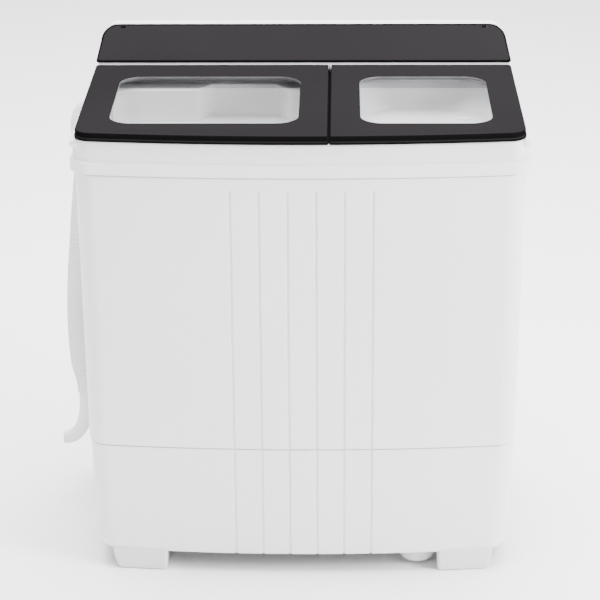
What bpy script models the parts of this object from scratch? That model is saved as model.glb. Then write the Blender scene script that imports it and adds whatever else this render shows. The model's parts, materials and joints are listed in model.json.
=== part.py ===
"""Twin tub washer: bowed cabinet on a base with block feet, deck with two windowed lids, sloped console, wash tub
with pulsator on the left, spin tub with basket on the right, and a drain hose hanging at the left side.
Metres, +Z up, front towards -Y, origin on the floor under the middle of the machine."""

from math import atan, cos, pi, radians, sin

import bmesh
import bpy
from mathutils import Matrix, Vector

# Driving dimensions
HALF_WIDTH = 0.360
REAR_Y = 0.2275
FRONT_BOW = 0.020
GAP = 0.0003
FOOT_TOP = 0.036
FOOT_INNER = 0.2248
LEVELLING_X, LEVELLING_Y = 0.192, -0.155
BASE_TOP = 0.2341
CABINET_TOP = 0.7024
FLANGE_TOP = 0.7215
DECK_TOP = 0.7563
LID_BOTTOM = 0.757
LID_TOP = 0.772
HOUSING_TOP = 0.8265

# Front grooves
GROOVE_PITCH = 0.0455
GROOVE_WIDTH = 0.006
GROOVE_DEPTH = 0.002
GROOVE_TOP = 0.683

# Lids
LID_HALF_WIDTH = 0.350
LID_SPLIT_X = 0.0448
LID_SPLIT_GAP = 0.002
LID_FRONT = -0.2275
LID_REAR = 0.154
LID_CORNER = 0.028
LID_HINGE = Vector((0.0, 0.150, 0.766))
LID_REAR_BEVEL = 0.0016
BEAD_CHANNEL = 0.0050
HINGE_ROD_RADIUS = 0.0016
WINDOW_FRONT = -0.162
WINDOW_REAR = 0.084
WINDOW_CORNER = 0.036
WASH_WINDOW = (-0.300, -0.003)
SPIN_WINDOW = (0.094, 0.301)
WINDOW_LEDGE = 0.006

# Wash side
PULSATOR_X, PULSATOR_Y = -0.150, -0.030
PULSATOR_RADIUS = 0.125
TUB_LEFT, TUB_RIGHT = -0.322, 0.030
TUB_FRONT, TUB_REAR = -0.190, 0.130
TUB_FLOOR = 0.300
PULLEY_Z = 0.2125
PULLEY_RADIUS = 0.100
MOTOR_X, MOTOR_Y = -0.255, 0.100
MOTOR_PULLEY_RADIUS = 0.025
VALVE_X, VALVE_Y = -0.034, 0.092

# Spin side
SPIN_X, SPIN_Y = 0.195, -0.060
SPIN_TUB_RADIUS = 0.115
BASKET_RADIUS = 0.100
WELL_FLOOR = 0.709

# Console: the cover lies on a slope that starts at SLOPE_FOOT and leans back
SLOPE_FOOT = Vector((0.0, 0.1585, 0.775))
SLOPE_LEAN = radians(39.2)
SLOPE_LENGTH = 0.070
COVER_THICKNESS = 0.005
COVER_BEAD = 0.0032
PLATE_DEPTH = 0.0178
KNOB_X = {"wash_timer": -0.200, "drain_selector": 0.0, "spin_timer": 0.200}
KNOB_SLOPE = 0.031

# Drain hose at the left side
ELBOW_Y = 0.1025
HOSE_RADIUS = 0.015
NOZZLE_RADIUS = 0.0125


def clear_scene():
    for obj in list(bpy.data.objects):
        bpy.data.objects.remove(obj)


def new_collection(name):
    collection = bpy.data.collections.new(name)
    bpy.context.scene.collection.children.link(collection)
    return collection


def plastic(name, colour, roughness=0.4, metallic=0.0, alpha=1.0):
    material = bpy.data.materials.new(name)
    material.use_nodes = True
    shader = material.node_tree.nodes["Principled BSDF"]
    shader.inputs["Base Color"].default_value = (*colour, 1.0)
    shader.inputs["Roughness"].default_value = roughness
    shader.inputs["Metallic"].default_value = metallic
    shader.inputs["Alpha"].default_value = alpha
    return material


WHITE = (0.80, 0.80, 0.81)
DARK = (0.066, 0.060, 0.066)
GREY = (0.35, 0.35, 0.36)
RUBBER = (0.04, 0.04, 0.04)
STEEL = (0.60, 0.60, 0.62)
CLEAR = (0.90, 0.93, 0.95)


def add(obj, collection):
    collection.objects.link(obj)
    return obj


def as_part(obj, colour, roughness=0.4, metallic=0.0, alpha=1.0, origin=None):
    """Makes obj a piece of the washer, with a material of its own and its origin at the point given."""
    if origin is not None:
        shift = Vector(origin) - obj.location
        obj.data.transform(Matrix.Translation(-shift))
        obj.location = origin
    obj.data.materials.clear()
    obj.data.materials.append(plastic(obj.name, colour, roughness, metallic, alpha))
    return add(obj, PARTS)


def as_tool(obj):
    """Makes obj a helper that cuts or joins another."""
    obj.hide_render = True
    obj.display_type = "WIRE"
    return add(obj, TOOLS)


def mesh_object(name, bm, smooth_angle=35):
    mesh = bpy.data.meshes.new(name)
    bmesh.ops.recalc_face_normals(bm, faces=bm.faces)
    bm.to_mesh(mesh)
    bm.free()
    mesh.shade_smooth()
    mesh.set_sharp_from_angle(angle=radians(smooth_angle))
    return bpy.data.objects.new(name, mesh)


def box(name, low, high, frame=Matrix()):
    low, high = Vector(low), Vector(high)
    place = Matrix.Translation((low + high) / 2) @ Matrix.Diagonal((*(high - low), 1.0))
    bm = bmesh.new()
    bmesh.ops.create_cube(bm, size=1.0, matrix=frame @ place)
    return mesh_object(name, bm)


def rod(name, radius, start, end, sides=16, end_radius=None):
    """Cylinder or cone between two points."""
    start, end = Vector(start), Vector(end)
    along = end - start
    place = Matrix.Translation((start + end) / 2) @ along.to_track_quat("Z", "Y").to_matrix().to_4x4()
    bm = bmesh.new()
    bmesh.ops.create_cone(
        bm, cap_ends=True, segments=sides, depth=along.length, matrix=place,
        radius1=radius, radius2=radius if end_radius is None else end_radius,
    )
    return mesh_object(name, bm)


def plate(name, outlines, low, high, frame=Matrix()):
    """Flat solid between the heights low and high. The second outline and those after it are holes."""
    curve = bpy.data.curves.new(name, "CURVE")
    curve.dimensions = "2D"
    curve.fill_mode = "BOTH"
    curve.extrude = (high - low) / 2
    for outline in outlines:
        spline = curve.splines.new("POLY")
        spline.points.add(len(outline) - 1)
        for point, (x, y) in zip(spline.points, outline):
            point.co = (x, y, 0.0, 1.0)
        spline.use_cyclic_u = True
    flat = add(bpy.data.objects.new(name + "_outline", curve), TOOLS)
    evaluated = flat.evaluated_get(bpy.context.evaluated_depsgraph_get())
    mesh = bpy.data.meshes.new_from_object(evaluated)
    bpy.data.objects.remove(flat)
    bm = bmesh.new()
    bm.from_mesh(mesh)
    bpy.data.meshes.remove(mesh)
    bmesh.ops.remove_doubles(bm, verts=bm.verts, dist=1e-5)
    bm.transform(frame @ Matrix.Translation((0, 0, (low + high) / 2)))
    return mesh_object(name, bm)


def loft(name, rings):
    """Solid through rings of equally many points, lowest ring first."""
    bm = bmesh.new()
    loops = [[bm.verts.new(point) for point in ring] for ring in rings]
    count = len(loops[0])
    for lower, upper in zip(loops, loops[1:]):
        for i in range(count):
            j = (i + 1) % count
            bm.faces.new((lower[i], lower[j], upper[j], upper[i]))
    bm.faces.new(loops[0])
    bm.faces.new(loops[-1])
    return mesh_object(name, bm)


def turned(name, profile, centre, steps=32, lean=0.0):
    """Round solid: profile is (radius, height) pairs down the outer side, top to bottom. lean tips it about X."""
    mesh = bpy.data.meshes.new(name)
    points = [(radius, 0.0, height) for radius, height in profile]
    mesh.from_pydata(points, [(i, i + 1) for i in range(len(points) - 1)], [])
    obj = bpy.data.objects.new(name, mesh)
    obj.location = centre
    obj.rotation_euler = (lean, 0.0, 0.0)
    screw = obj.modifiers.new("turn", "SCREW")
    screw.steps = screw.render_steps = steps
    screw.use_merge_vertices = True
    screw.merge_threshold = 1e-5
    screw.use_smooth_shade = True
    return obj


def tube(name, points, radius, resolution=2, scales=None):
    """Round bar along a list of points, with closed ends."""
    curve = bpy.data.curves.new(name, "CURVE")
    curve.dimensions = "3D"
    curve.bevel_depth = radius
    curve.bevel_resolution = resolution
    curve.use_fill_caps = True
    spline = curve.splines.new("POLY")
    spline.points.add(len(points) - 1)
    for i, (knot, point) in enumerate(zip(spline.points, points)):
        knot.co = (*point, 1.0)
        knot.radius = scales[i] if scales else 1.0
    return bpy.data.objects.new(name, curve)


def boolean(obj, tool, operation):
    as_tool(tool)
    modifier = obj.modifiers.new(tool.name, "BOOLEAN")
    modifier.operation = operation
    modifier.object = tool
    modifier.solver = "EXACT"


def cut(obj, *tools):
    for tool in tools:
        boolean(obj, tool, "DIFFERENCE")


def join(obj, *tools):
    for tool in tools:
        boolean(obj, tool, "UNION")


def arc(cx, cy, radius, start, end, steps):
    """Points on an arc, angles in degrees, both ends included."""
    angles = [radians(start + (end - start) * i / steps) for i in range(steps + 1)]
    return [(cx + radius * cos(a), cy + radius * sin(a)) for a in angles]


def rounded(left, right, front, rear, radius, steps=5):
    """Rectangle with round corners, anticlockwise."""
    return (
        arc(right - radius, front + radius, radius, -90, 0, steps)
        + arc(right - radius, rear - radius, radius, 0, 90, steps)
        + arc(left + radius, rear - radius, radius, 90, 180, steps)
        + arc(left + radius, front + radius, radius, 180, 270, steps)
    )


def smooth_path(knots, count):
    """count points spaced evenly along a Catmull-Rom curve through the knots."""
    knots = [Vector(k) for k in knots]
    ends = [2 * knots[0] - knots[1]] + knots + [2 * knots[-1] - knots[-2]]
    fine = []
    for i in range(1, len(ends) - 2):
        a, b, c, d = ends[i - 1:i + 3]
        for step in range(24):
            t = step / 24
            fine.append(0.5 * (2 * b + (c - a) * t + (2 * a - 5 * b + 4 * c - d) * t**2
                               + (3 * b - 3 * c + d - a) * t**3))
    fine.append(knots[-1])
    lengths = [0.0]
    for a, b in zip(fine, fine[1:]):
        lengths.append(lengths[-1] + (b - a).length)
    points, j = [], 0
    for i in range(count):
        goal = lengths[-1] * i / (count - 1)
        while j < len(fine) - 2 and lengths[j + 1] < goal:
            j += 1
        part = (goal - lengths[j]) / (lengths[j + 1] - lengths[j])
        points.append(fine[j].lerp(fine[j + 1], min(1.0, part)))
    return points


def bowed(half_width, front, rear, front_radius, rear_radius, groove=None):
    """Plan of a shell: straight sides and rear, round corners, and a bowed front, with six grooves if groove gives
    their depth."""
    def front_line(x):
        return front + FRONT_BOW * (x / half_width) ** 2

    tangent_x = half_width - front_radius
    for _ in range(4):
        turn = atan(2 * FRONT_BOW * tangent_x / half_width**2)
        tangent_x = half_width - front_radius * (1 - sin(turn))
    xs = [(0.0, 0.0)]
    for i in range(0 if groove is None else 3):
        middle = GROOVE_PITCH * (i + 0.5)
        for offset, depth in ((-0.5, 0), (-0.28, 1), (0.28, 1), (0.5, 0)):
            xs.append((middle + offset * GROOVE_WIDTH, depth * groove))
    last = xs[-1][0]
    xs += [(last + (tangent_x - last) * i / 5, 0.0) for i in range(1, 5)]
    right = [(x, front_line(x) + depth) for x, depth in xs]
    centre_y = front_line(tangent_x) + front_radius * cos(turn)
    right += arc(half_width - front_radius, centre_y, front_radius, -90 + turn * 180 / pi, 0, 5)
    right += arc(half_width - rear_radius, rear - rear_radius, rear_radius, 0, 90, 4)
    left = [(-x, y) for x, y in reversed(right[1:])]
    return right + left


def at_height(outline, z):
    return [(x, y, z) for x, y in outline]


def slope_frame():
    """Frame of the sloped panel: X along the machine, Y up the slope, Z out of the panel."""
    return Matrix.Translation(SLOPE_FOOT) @ Matrix.Rotation(pi / 2 - SLOPE_LEAN, 4, "X")


def on_slope(x, up, out):
    return slope_frame() @ Vector((x, up, out))


# Casing

def make_base():
    base = loft("base_shell", [
        at_height(bowed(0.324, -0.2085, 0.198, 0.030, 0.026, GROOVE_DEPTH), 0.0363),
        at_height(bowed(0.334, -0.2118, 0.209, 0.034, 0.028, GROOVE_DEPTH), 0.0390),
        at_height(bowed(0.3405, -0.2126, 0.2155, 0.035, 0.030, GROOVE_DEPTH), 0.0450),
        at_height(bowed(0.3445, -0.2130, 0.2180, 0.035, 0.030, GROOVE_DEPTH), 0.0580),
        at_height(bowed(0.3470, -0.2175, 0.2190, 0.035, 0.030, GROOVE_DEPTH), BASE_TOP),
    ])
    hollow = loft("base_hollow", [
        at_height(bowed(0.330, -0.199, 0.203, 0.030, 0.026), 0.0413),
        at_height(bowed(0.3395, -0.2080, 0.2130, 0.031, 0.026), 0.0600),
        at_height(bowed(0.3420, -0.2125, 0.2140, 0.031, 0.026), BASE_TOP + 0.01),
    ])
    cut(base, hollow, rod("levelling_hole", 0.0063, (LEVELLING_X, LEVELLING_Y, 0.02), (LEVELLING_X, LEVELLING_Y, 0.06)),
        rod("gland_hole", 0.0085, (0.280, 0.205, 0.120), (0.280, 0.225, 0.120)))
    for i, (x, y) in enumerate(((-0.315, -0.140), (-0.315, 0.020), (-0.020, -0.140), (-0.020, 0.160))):
        join(base, rod(f"plate_post_{i}", 0.009, (x, y, 0.039), (x, y, 0.1857), 12))
    as_part(base, WHITE)


def make_cabinet():
    top, bottom = (0.3520, -0.2225, 0.222, 0.035, 0.030), (0.3490, -0.2190, 0.2205, 0.035, 0.030)
    share = (GROOVE_TOP - CABINET_TOP) / (BASE_TOP - CABINET_TOP)
    near_top = [a + (b - a) * share for a, b in zip(top, bottom)]
    cabinet = loft("cabinet_shell", [
        at_height(bowed(*bottom, GROOVE_DEPTH), BASE_TOP + GAP),
        at_height(bowed(*near_top, GROOVE_DEPTH), GROOVE_TOP - 0.004),
        at_height(bowed(*near_top, 0.0), GROOVE_TOP),
        at_height(bowed(*top, 0.0), CABINET_TOP),
    ])
    hollow = loft("cabinet_hollow", [
        at_height(bowed(0.345, -0.215, 0.2165, 0.031, 0.026), BASE_TOP - 0.01),
        at_height(bowed(0.348, -0.2185, 0.218, 0.031, 0.026), CABINET_TOP + 0.01),
    ])
    cut(cabinet, hollow, box("service_opening", (-0.26, 0.200, 0.28), (0.26, 0.240, 0.64)))
    as_part(cabinet, WHITE)
    upright = Matrix.Rotation(pi / 2, 4, "X")
    cover = plate("rear_cover", [rounded(-0.28, 0.28, 0.26, 0.66, 0.02)], -0.2254, -0.2224, upright)
    as_part(cover, WHITE)


def foot_bow(x):
    """How far a front foot's face stands back at x, so that it follows the bowed base."""
    return FRONT_BOW * (x**2 - FOOT_INNER**2) / 0.345**2


def make_feet():
    for side, word in ((-1, "left"), (1, "right")):
        for front, rear, place in ((-0.2025, -0.1425, "front"), (0.1425, 0.2025, "rear")):
            name = f"foot_{place}_{word}"
            rings = [((0.2300, 0.3030), 0.0045, 0.0), ((0.2252, 0.3090), 0.0, 0.0055),
                     ((FOOT_INNER, 0.3145), -0.0015, 0.022), ((FOOT_INNER, 0.3165), -0.0025, FOOT_TOP)]
            outlines = []
            for (inner, outer), inset, z in rings:
                outline = rounded(*sorted((side * inner, side * outer)), front + inset, rear - inset, 0.006, 2)
                if place == "front":
                    outline = [(x, y + foot_bow(x) if y < (front + rear) / 2 else y) for x, y in outline]
                outlines.append(at_height(outline, z))
            as_part(loft(name, outlines), WHITE, 0.5)
    foot = turned("levelling_foot", [
        (0.0, 0.0580), (0.0058, 0.0580), (0.0058, 0.0330), (0.0290, 0.0330), (0.0300, 0.0310),
        (0.0300, 0.0130), (0.0265, 0.0065), (0.0170, 0.0025), (0.0, 0.0015)],
        (LEVELLING_X, LEVELLING_Y, 0.0), 24)
    as_part(foot, WHITE, 0.5)


def make_deck():
    flange = bowed(HALF_WIDTH, -0.2245, REAR_Y, 0.036, 0.030)
    collar = bowed(0.3555, -0.2200, 0.2265, 0.033, 0.029)
    deck = loft("top_deck", [at_height(flange, CABINET_TOP + GAP), at_height(flange, FLANGE_TOP - 0.001),
                             at_height(collar, FLANGE_TOP + 0.002), at_height(collar, DECK_TOP)])
    cut(deck, loft("deck_hollow", [at_height(bowed(0.351, -0.2155, 0.2220, 0.029, 0.025), 0.69),
                                   at_height(bowed(0.351, -0.2155, 0.2220, 0.029, 0.025), 0.752)]))
    join(deck, loft("well_body", [at_height(well_floor(0.004), 0.7049), at_height(well_mouth(0.004), 0.754)]))
    cut(deck, loft("well_pocket", [at_height(well_floor(0.0), WELL_FLOOR), at_height(well_mouth(0.0), DECK_TOP),
                                   at_height(well_mouth(0.0), 0.80)]),
        rod("well_hole", 0.090, (SPIN_X, SPIN_Y, 0.69), (SPIN_X, SPIN_Y, 0.73), 40),
        plate("wash_opening", [rounded(-0.325, 0.033, -0.193, 0.133, 0.05)], 0.74, 0.80),
        box("wiring_opening", (-0.31, 0.172, 0.74), (0.31, 0.214, 0.78)),
        rod("elbow_hole", 0.0142, (-0.370, ELBOW_Y, 0.7185), (-0.340, ELBOW_Y, 0.7185)),
        rod("switch_hole", 0.0036, (0.335, 0.100, 0.74), (0.335, 0.100, 0.77), 12))
    for side in (-1, 1):
        xs = sorted((side * 0.3345, side * 0.353)), sorted((side * 0.350, side * HALF_WIDTH))
        recess = sorted((side * 0.3385, side * 0.370))
        join(deck, box(f"grip_pocket_{side}", (xs[0][0], -0.185, 0.7205), (xs[0][1], -0.065, 0.754)),
             box(f"grip_rim_{side}", (xs[1][0], -0.190, 0.7430), (xs[1][1], -0.060, 0.7560)))
        cut(deck, box(f"grip_recess_{side}", (recess[0], -0.180, 0.7245), (recess[1], -0.070, 0.7430)))
    for i, x in enumerate(hinge_posts()):
        post = rod(f"hinge_post_{i}", 0.0032, (x - 0.008, LID_HINGE.y, LID_HINGE.z),
                   (x + 0.008, LID_HINGE.y, LID_HINGE.z))
        web = box(f"hinge_web_{i}", (x - 0.008, LID_HINGE.y - 0.003, 0.754),
                  (x + 0.008, LID_HINGE.y + 0.003, LID_HINGE.z))
        hole = rod(f"hinge_hole_{i}", 0.0020, (x - 0.009, LID_HINGE.y, LID_HINGE.z),
                   (x + 0.009, LID_HINGE.y, LID_HINGE.z))
        join(deck, post, web)
        cut(deck, hole)
    as_part(deck, WHITE)
    as_part(turned("well_cap", [(0.0, 0.0035), (0.0055, 0.0035), (0.0078, 0.0015), (0.0078, 0.0), (0.0, 0.0)],
                   (0.266, 0.050, WELL_FLOOR + GAP), 16), WHITE)


def hinge_posts():
    return (-0.320, 0.015, 0.075, 0.320)


def well_outline(rear_half, side_half, front, front_half, rear_side, rear):
    """Eight-sided plan, anticlockwise from the front right corner. Its rear corners are cut back furthest."""
    right = [(front_half, front), (side_half, front + side_half - front_half), (side_half, rear_side),
             (rear_half, rear)]
    return [(SPIN_X + x, y) for x, y in right] + [(SPIN_X - x, y) for x, y in reversed(right)]


def well_floor(wall):
    return well_outline(0.050 + wall / 2, 0.105 + wall, -0.160 - wall, 0.085 + wall / 2, 0.070 + wall / 2, 0.108 + wall)


def well_mouth(wall):
    return well_outline(0.071 + wall / 2, 0.123 + wall, -0.168 - wall, 0.093 + wall / 2, 0.088 + wall / 2, 0.130 + wall)


# Lids

def lid_front(x):
    return LID_FRONT + FRONT_BOW * (x / LID_HALF_WIDTH) ** 2


def lid_outline(outer_x, inner_x, inset=0.0):
    """Plan of one lid, anticlockwise. outer_x is its side of the machine, inner_x its edge at the split."""
    side = 1 if outer_x > 0 else -1
    outer, inner = abs(outer_x) - inset, side * inner_x + inset
    radius = LID_CORNER - inset
    turn = atan(2 * FRONT_BOW * (outer - radius) / LID_HALF_WIDTH**2)
    tangent_x = outer - radius * (1 - sin(turn))
    centre_y = lid_front(tangent_x) + inset + radius * cos(turn)
    points = [(inner + (tangent_x - inner) * i / 7, 0) for i in range(7)]
    points = [(x, lid_front(x) + inset) for x, _ in points]
    points += arc(outer - radius, centre_y, radius, -90 + turn * 180 / pi, 0, 5)
    points += [(outer, LID_REAR - inset - 0.004), (outer - 0.004, LID_REAR - inset), (inner, LID_REAR - inset)]
    points = [(side * x, y) for x, y in points]
    return points if side > 0 else points[::-1]


def window_outline(window, grow):
    return rounded(window[0] - grow, window[1] + grow, WINDOW_FRONT - grow, WINDOW_REAR + grow,
                   WINDOW_CORNER + grow, 6)


def make_lid(name, outer_x, inner_x, window, posts):
    frame = plate(name + "_lid_frame", [lid_outline(outer_x, inner_x), window_outline(window, 0.0)],
                  LID_BOTTOM, LID_TOP)
    cut(frame, plate(name + "_glass_seat", [window_outline(window, WINDOW_LEDGE + GAP)], 0.75, 0.7690))
    relief = [lid_outline(outer_x, inner_x, 0.010), window_outline(window, 0.014)]
    relief[0] = [(x, min(y, 0.138)) for x, y in relief[0]]
    cut(frame, plate(name + "_relief", relief, 0.75, 0.7645))
    for x in posts:
        cut(frame, box(f"{name}_hinge_room_{x:.3f}", (x - 0.0095, LID_HINGE.y - 0.0055, 0.75),
                       (x + 0.0095, LID_REAR + 0.002, LID_HINGE.z + 0.0042)))
    ends = sorted((outer_x - (0.004 if outer_x > 0 else -0.004), inner_x + (0.004 if outer_x > 0 else -0.004)))
    cut(frame, rod(name + "_rod_bore", 0.0022, (ends[0], LID_HINGE.y, LID_HINGE.z),
                   (ends[1], LID_HINGE.y, LID_HINGE.z), 12))
    hinge = (sum(ends) / 2, LID_HINGE.y, LID_HINGE.z)
    # The bevels keep the rear edge clear of the console and the deck as the lid swings up.
    half = LID_REAR_BEVEL / 2**0.5
    for i, z in enumerate((LID_BOTTOM, LID_TOP)):
        edge = Matrix.Translation((0, LID_REAR, z)) @ Matrix.Rotation(pi / 4, 4, "X")
        cut(frame, box(f"{name}_rear_bevel_{i}", (-0.36, -half, -half), (0.36, half, half), edge))
    as_part(frame, DARK, 0.2, origin=hinge)
    glass = plate(name + "_lid_window", [window_outline(window, WINDOW_LEDGE)], 0.7655, 0.7687)
    join(glass, plate(name + "_pane_face", [window_outline(window, -GAP)], 0.7657, LID_TOP - GAP))
    as_part(glass, CLEAR, 0.05, alpha=0.3, origin=hinge)
    rod_piece = rod(name + "_hinge_rod", HINGE_ROD_RADIUS, (ends[0] + 0.001, LID_HINGE.y, LID_HINGE.z),
                    (ends[1] - 0.001, LID_HINGE.y, LID_HINGE.z), 10)
    as_part(rod_piece, STEEL, 0.3, 1.0, origin=hinge)


def make_lids():
    posts = hinge_posts()
    half_gap = LID_SPLIT_GAP / 2
    make_lid("wash", -LID_HALF_WIDTH, LID_SPLIT_X - half_gap, WASH_WINDOW, posts[:2])
    make_lid("spin", LID_HALF_WIDTH, LID_SPLIT_X + half_gap, SPIN_WINDOW, posts[2:])


# Console

def cover_outline(grow=0.0):
    """Sloped panel seen square on: half-width shrinks up the slope, and its top corners are round."""
    low, high, radius = 0.350 + grow, 0.3425 + grow, 0.030
    top = SLOPE_LENGTH + grow
    right = [(low, 0.0)] + arc(high - radius, top - radius, radius, 10, 90, 6)
    return right + [(-x, y) for x, y in reversed(right)]


def make_console():
    upright = Matrix.Rotation(pi / 2, 4, "X")
    low, high, radius = 0.3490, 0.3415, 0.029
    right = [(low, DECK_TOP + GAP)] + arc(high - radius, HOUSING_TOP - radius, radius, 10, 90, 6)
    outline = right + [(-x, y) for x, y in reversed(right)]
    housing = plate("console_housing", [outline], -(REAR_Y - 0.002), -0.1568, upright)
    frame = slope_frame()
    axis_up, axis_out = SLOPE_LENGTH - COVER_BEAD, -COVER_BEAD
    cut(housing, box("slope_cut", (-0.4, -0.05, -COVER_THICKNESS - 0.0005), (0.4, 0.12, 0.06), frame),
        box("knob_pocket", (-0.325, 0.008, -PLATE_DEPTH - 0.0006), (0.325, 0.058, 0.01), frame),
        box("housing_hollow", (-0.335, 0.178, 0.74), (0.335, 0.2215, 0.792)),
        rod("bead_channel", BEAD_CHANNEL, on_slope(-0.36, axis_up, axis_out), on_slope(0.36, axis_up, axis_out)),
        rod("inlet_hole", 0.0110, (-0.250, 0.210, 0.775), (-0.250, 0.235, 0.775)))
    for i, x in enumerate((-0.306, 0.306)):
        ear = rod(f"cover_ear_{i}", 0.0030, on_slope(x - 0.004, axis_up, axis_out),
                  on_slope(x + 0.004, axis_up, axis_out))
        web = box(f"cover_ear_web_{i}", (x - 0.004, axis_up - 0.0028, -0.012),
                  (x + 0.004, axis_up + 0.0010, axis_out), frame)
        hole = rod(f"cover_ear_hole_{i}", 0.0017, on_slope(x - 0.005, axis_up, axis_out),
                   on_slope(x + 0.005, axis_up, axis_out), 12)
        # The corner fills the cover's notch, so that the top edge runs on across it.
        corner = box(f"cover_ear_corner_{i}", (x - 0.004, axis_up - 0.0002, axis_out - 0.0002),
                     (x + 0.004, axis_up + 0.0030, axis_out + 0.0030), frame)
        join(housing, web, ear, corner)
        cut(housing, hole)
    as_part(housing, WHITE)

    panel = plate("control_plate", [rounded(-0.3245, 0.3245, 0.0085, 0.0575, 0.004, 2)],
                  -PLATE_DEPTH - 0.0020, -PLATE_DEPTH, frame)
    for name, x in KNOB_X.items():
        cut(panel, rod(name + "_hole", 0.0042, on_slope(x, KNOB_SLOPE, -0.03), on_slope(x, KNOB_SLOPE, 0.0)))
    # The plate lies in the pocket's mouth, so the pocket is as deep as the plate's underside.
    cut(housing, box("plate_seat", (-0.325, 0.008, -PLATE_DEPTH - 0.0023), (0.325, 0.058, -0.01), frame))
    as_part(panel, GREY)

    make_cover(frame, axis_up, axis_out)
    make_controls(frame, housing)
    inlet = rod("inlet_port", 0.0105, (-0.250, 0.200, 0.775), (-0.250, REAR_Y, 0.775), 20)
    cut(inlet, rod("inlet_bore", 0.0075, (-0.250, 0.190, 0.775), (-0.250, 0.235, 0.775)))
    as_part(inlet, WHITE)


def make_cover(frame, axis_up, axis_out):
    cover = plate("control_cover", [cover_outline()], -COVER_THICKNESS, 0.0, frame)
    ends = on_slope(-0.312, axis_up, axis_out), on_slope(0.312, axis_up, axis_out)
    join(cover, rod("cover_bead", COVER_BEAD, *ends))
    cut(cover, rod("cover_bore", 0.0018, on_slope(-0.311, axis_up, axis_out), on_slope(0.311, axis_up, axis_out), 12))
    for i, x in enumerate((-0.306, 0.306)):
        cut(cover, box(f"cover_notch_{i}", (x - 0.005, axis_up - 0.0045, -0.02), (x + 0.005, 0.08, 0.01), frame))
    as_part(cover, DARK, 0.2, origin=on_slope(0.0, axis_up, axis_out))
    pin = rod("cover_hinge_rod", 0.0012, on_slope(-0.3105, axis_up, axis_out), on_slope(0.3105, axis_up, axis_out), 10)
    as_part(pin, STEEL, 0.3, 1.0, origin=on_slope(0.0, axis_up, axis_out))


def make_controls(frame, housing):
    for name, x in KNOB_X.items():
        top = -PLATE_DEPTH - 0.0026
        cut(housing, box(name + "_room", (x - 0.025, KNOB_SLOPE - 0.018, top - 0.017),
                         (x + 0.025, KNOB_SLOPE + 0.014, top + 0.001), frame))
        case = box(name, (x - 0.024, KNOB_SLOPE - 0.017, top - 0.016), (x + 0.024, KNOB_SLOPE + 0.013, top), frame)
        cut(case, rod(name + "_bore", 0.0042, on_slope(x, KNOB_SLOPE, top - 0.012), on_slope(x, KNOB_SLOPE, 0.0)))
        as_part(case, GREY, 0.6)
        face = -PLATE_DEPTH + 0.0006
        knob = turned(name + "_knob", [
            (0.0, 0.0105), (0.0125, 0.0105), (0.0140, 0.0090), (0.0145, 0.0015), (0.0170, 0.0),
            (0.0037, 0.0), (0.0037, -0.0120), (0.0, -0.0120)], on_slope(x, KNOB_SLOPE, face), 20, pi / 2 - SLOPE_LEAN)
        grip = box(name + "_grip", (x - 0.0022, KNOB_SLOPE - 0.0135, face + 0.008),
                   (x + 0.0022, KNOB_SLOPE + 0.0135, face + 0.0118), frame)
        join(knob, grip)
        as_part(knob, WHITE)


# Wash side

def tub_ring(inset, z, wall=0.0):
    grow = wall - inset
    return at_height(rounded(TUB_LEFT - grow, TUB_RIGHT + grow, TUB_FRONT - grow, TUB_REAR + grow,
                             0.050 + wall - inset / 2), z)


LEDGE_TOP = 0.694
LEDGE_FACE = [(-0.3195, 0.060), (0.0275, 0.060)]
HEAD_FACE = [(-0.3195, 0.060), (-0.312, 0.070), (-0.302, 0.078), (-0.290, 0.082), (-0.175, 0.083), (-0.151, 0.115),
             (-0.0445, 0.115), (-0.0216, 0.083), (0.000, 0.082), (0.016, 0.074), (0.0275, 0.060)]


def shelf_outline(face, inset=0.0):
    """Plan of the overflow housing from its face, a line left to right, back to the tub's rear wall.
    A positive inset gives the hollow behind the face, which runs out through the back."""
    rear, radius = 0.1270, 0.0475
    if inset:
        left, right = face[0][0] + inset, face[-1][0] - inset
        front = [(min(max(x, left), right), y + inset) for x, y in face]
        return front + [(right, 0.080), (right - 0.05, 0.14), (left + 0.05, 0.14), (left, 0.080)]
    rear_right = arc(face[-1][0] - radius, rear - radius, radius, 0, 90, 4)
    rear_left = arc(face[0][0] + radius, rear - radius, radius, 90, 180, 4)
    return face + rear_right + rear_left


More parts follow.
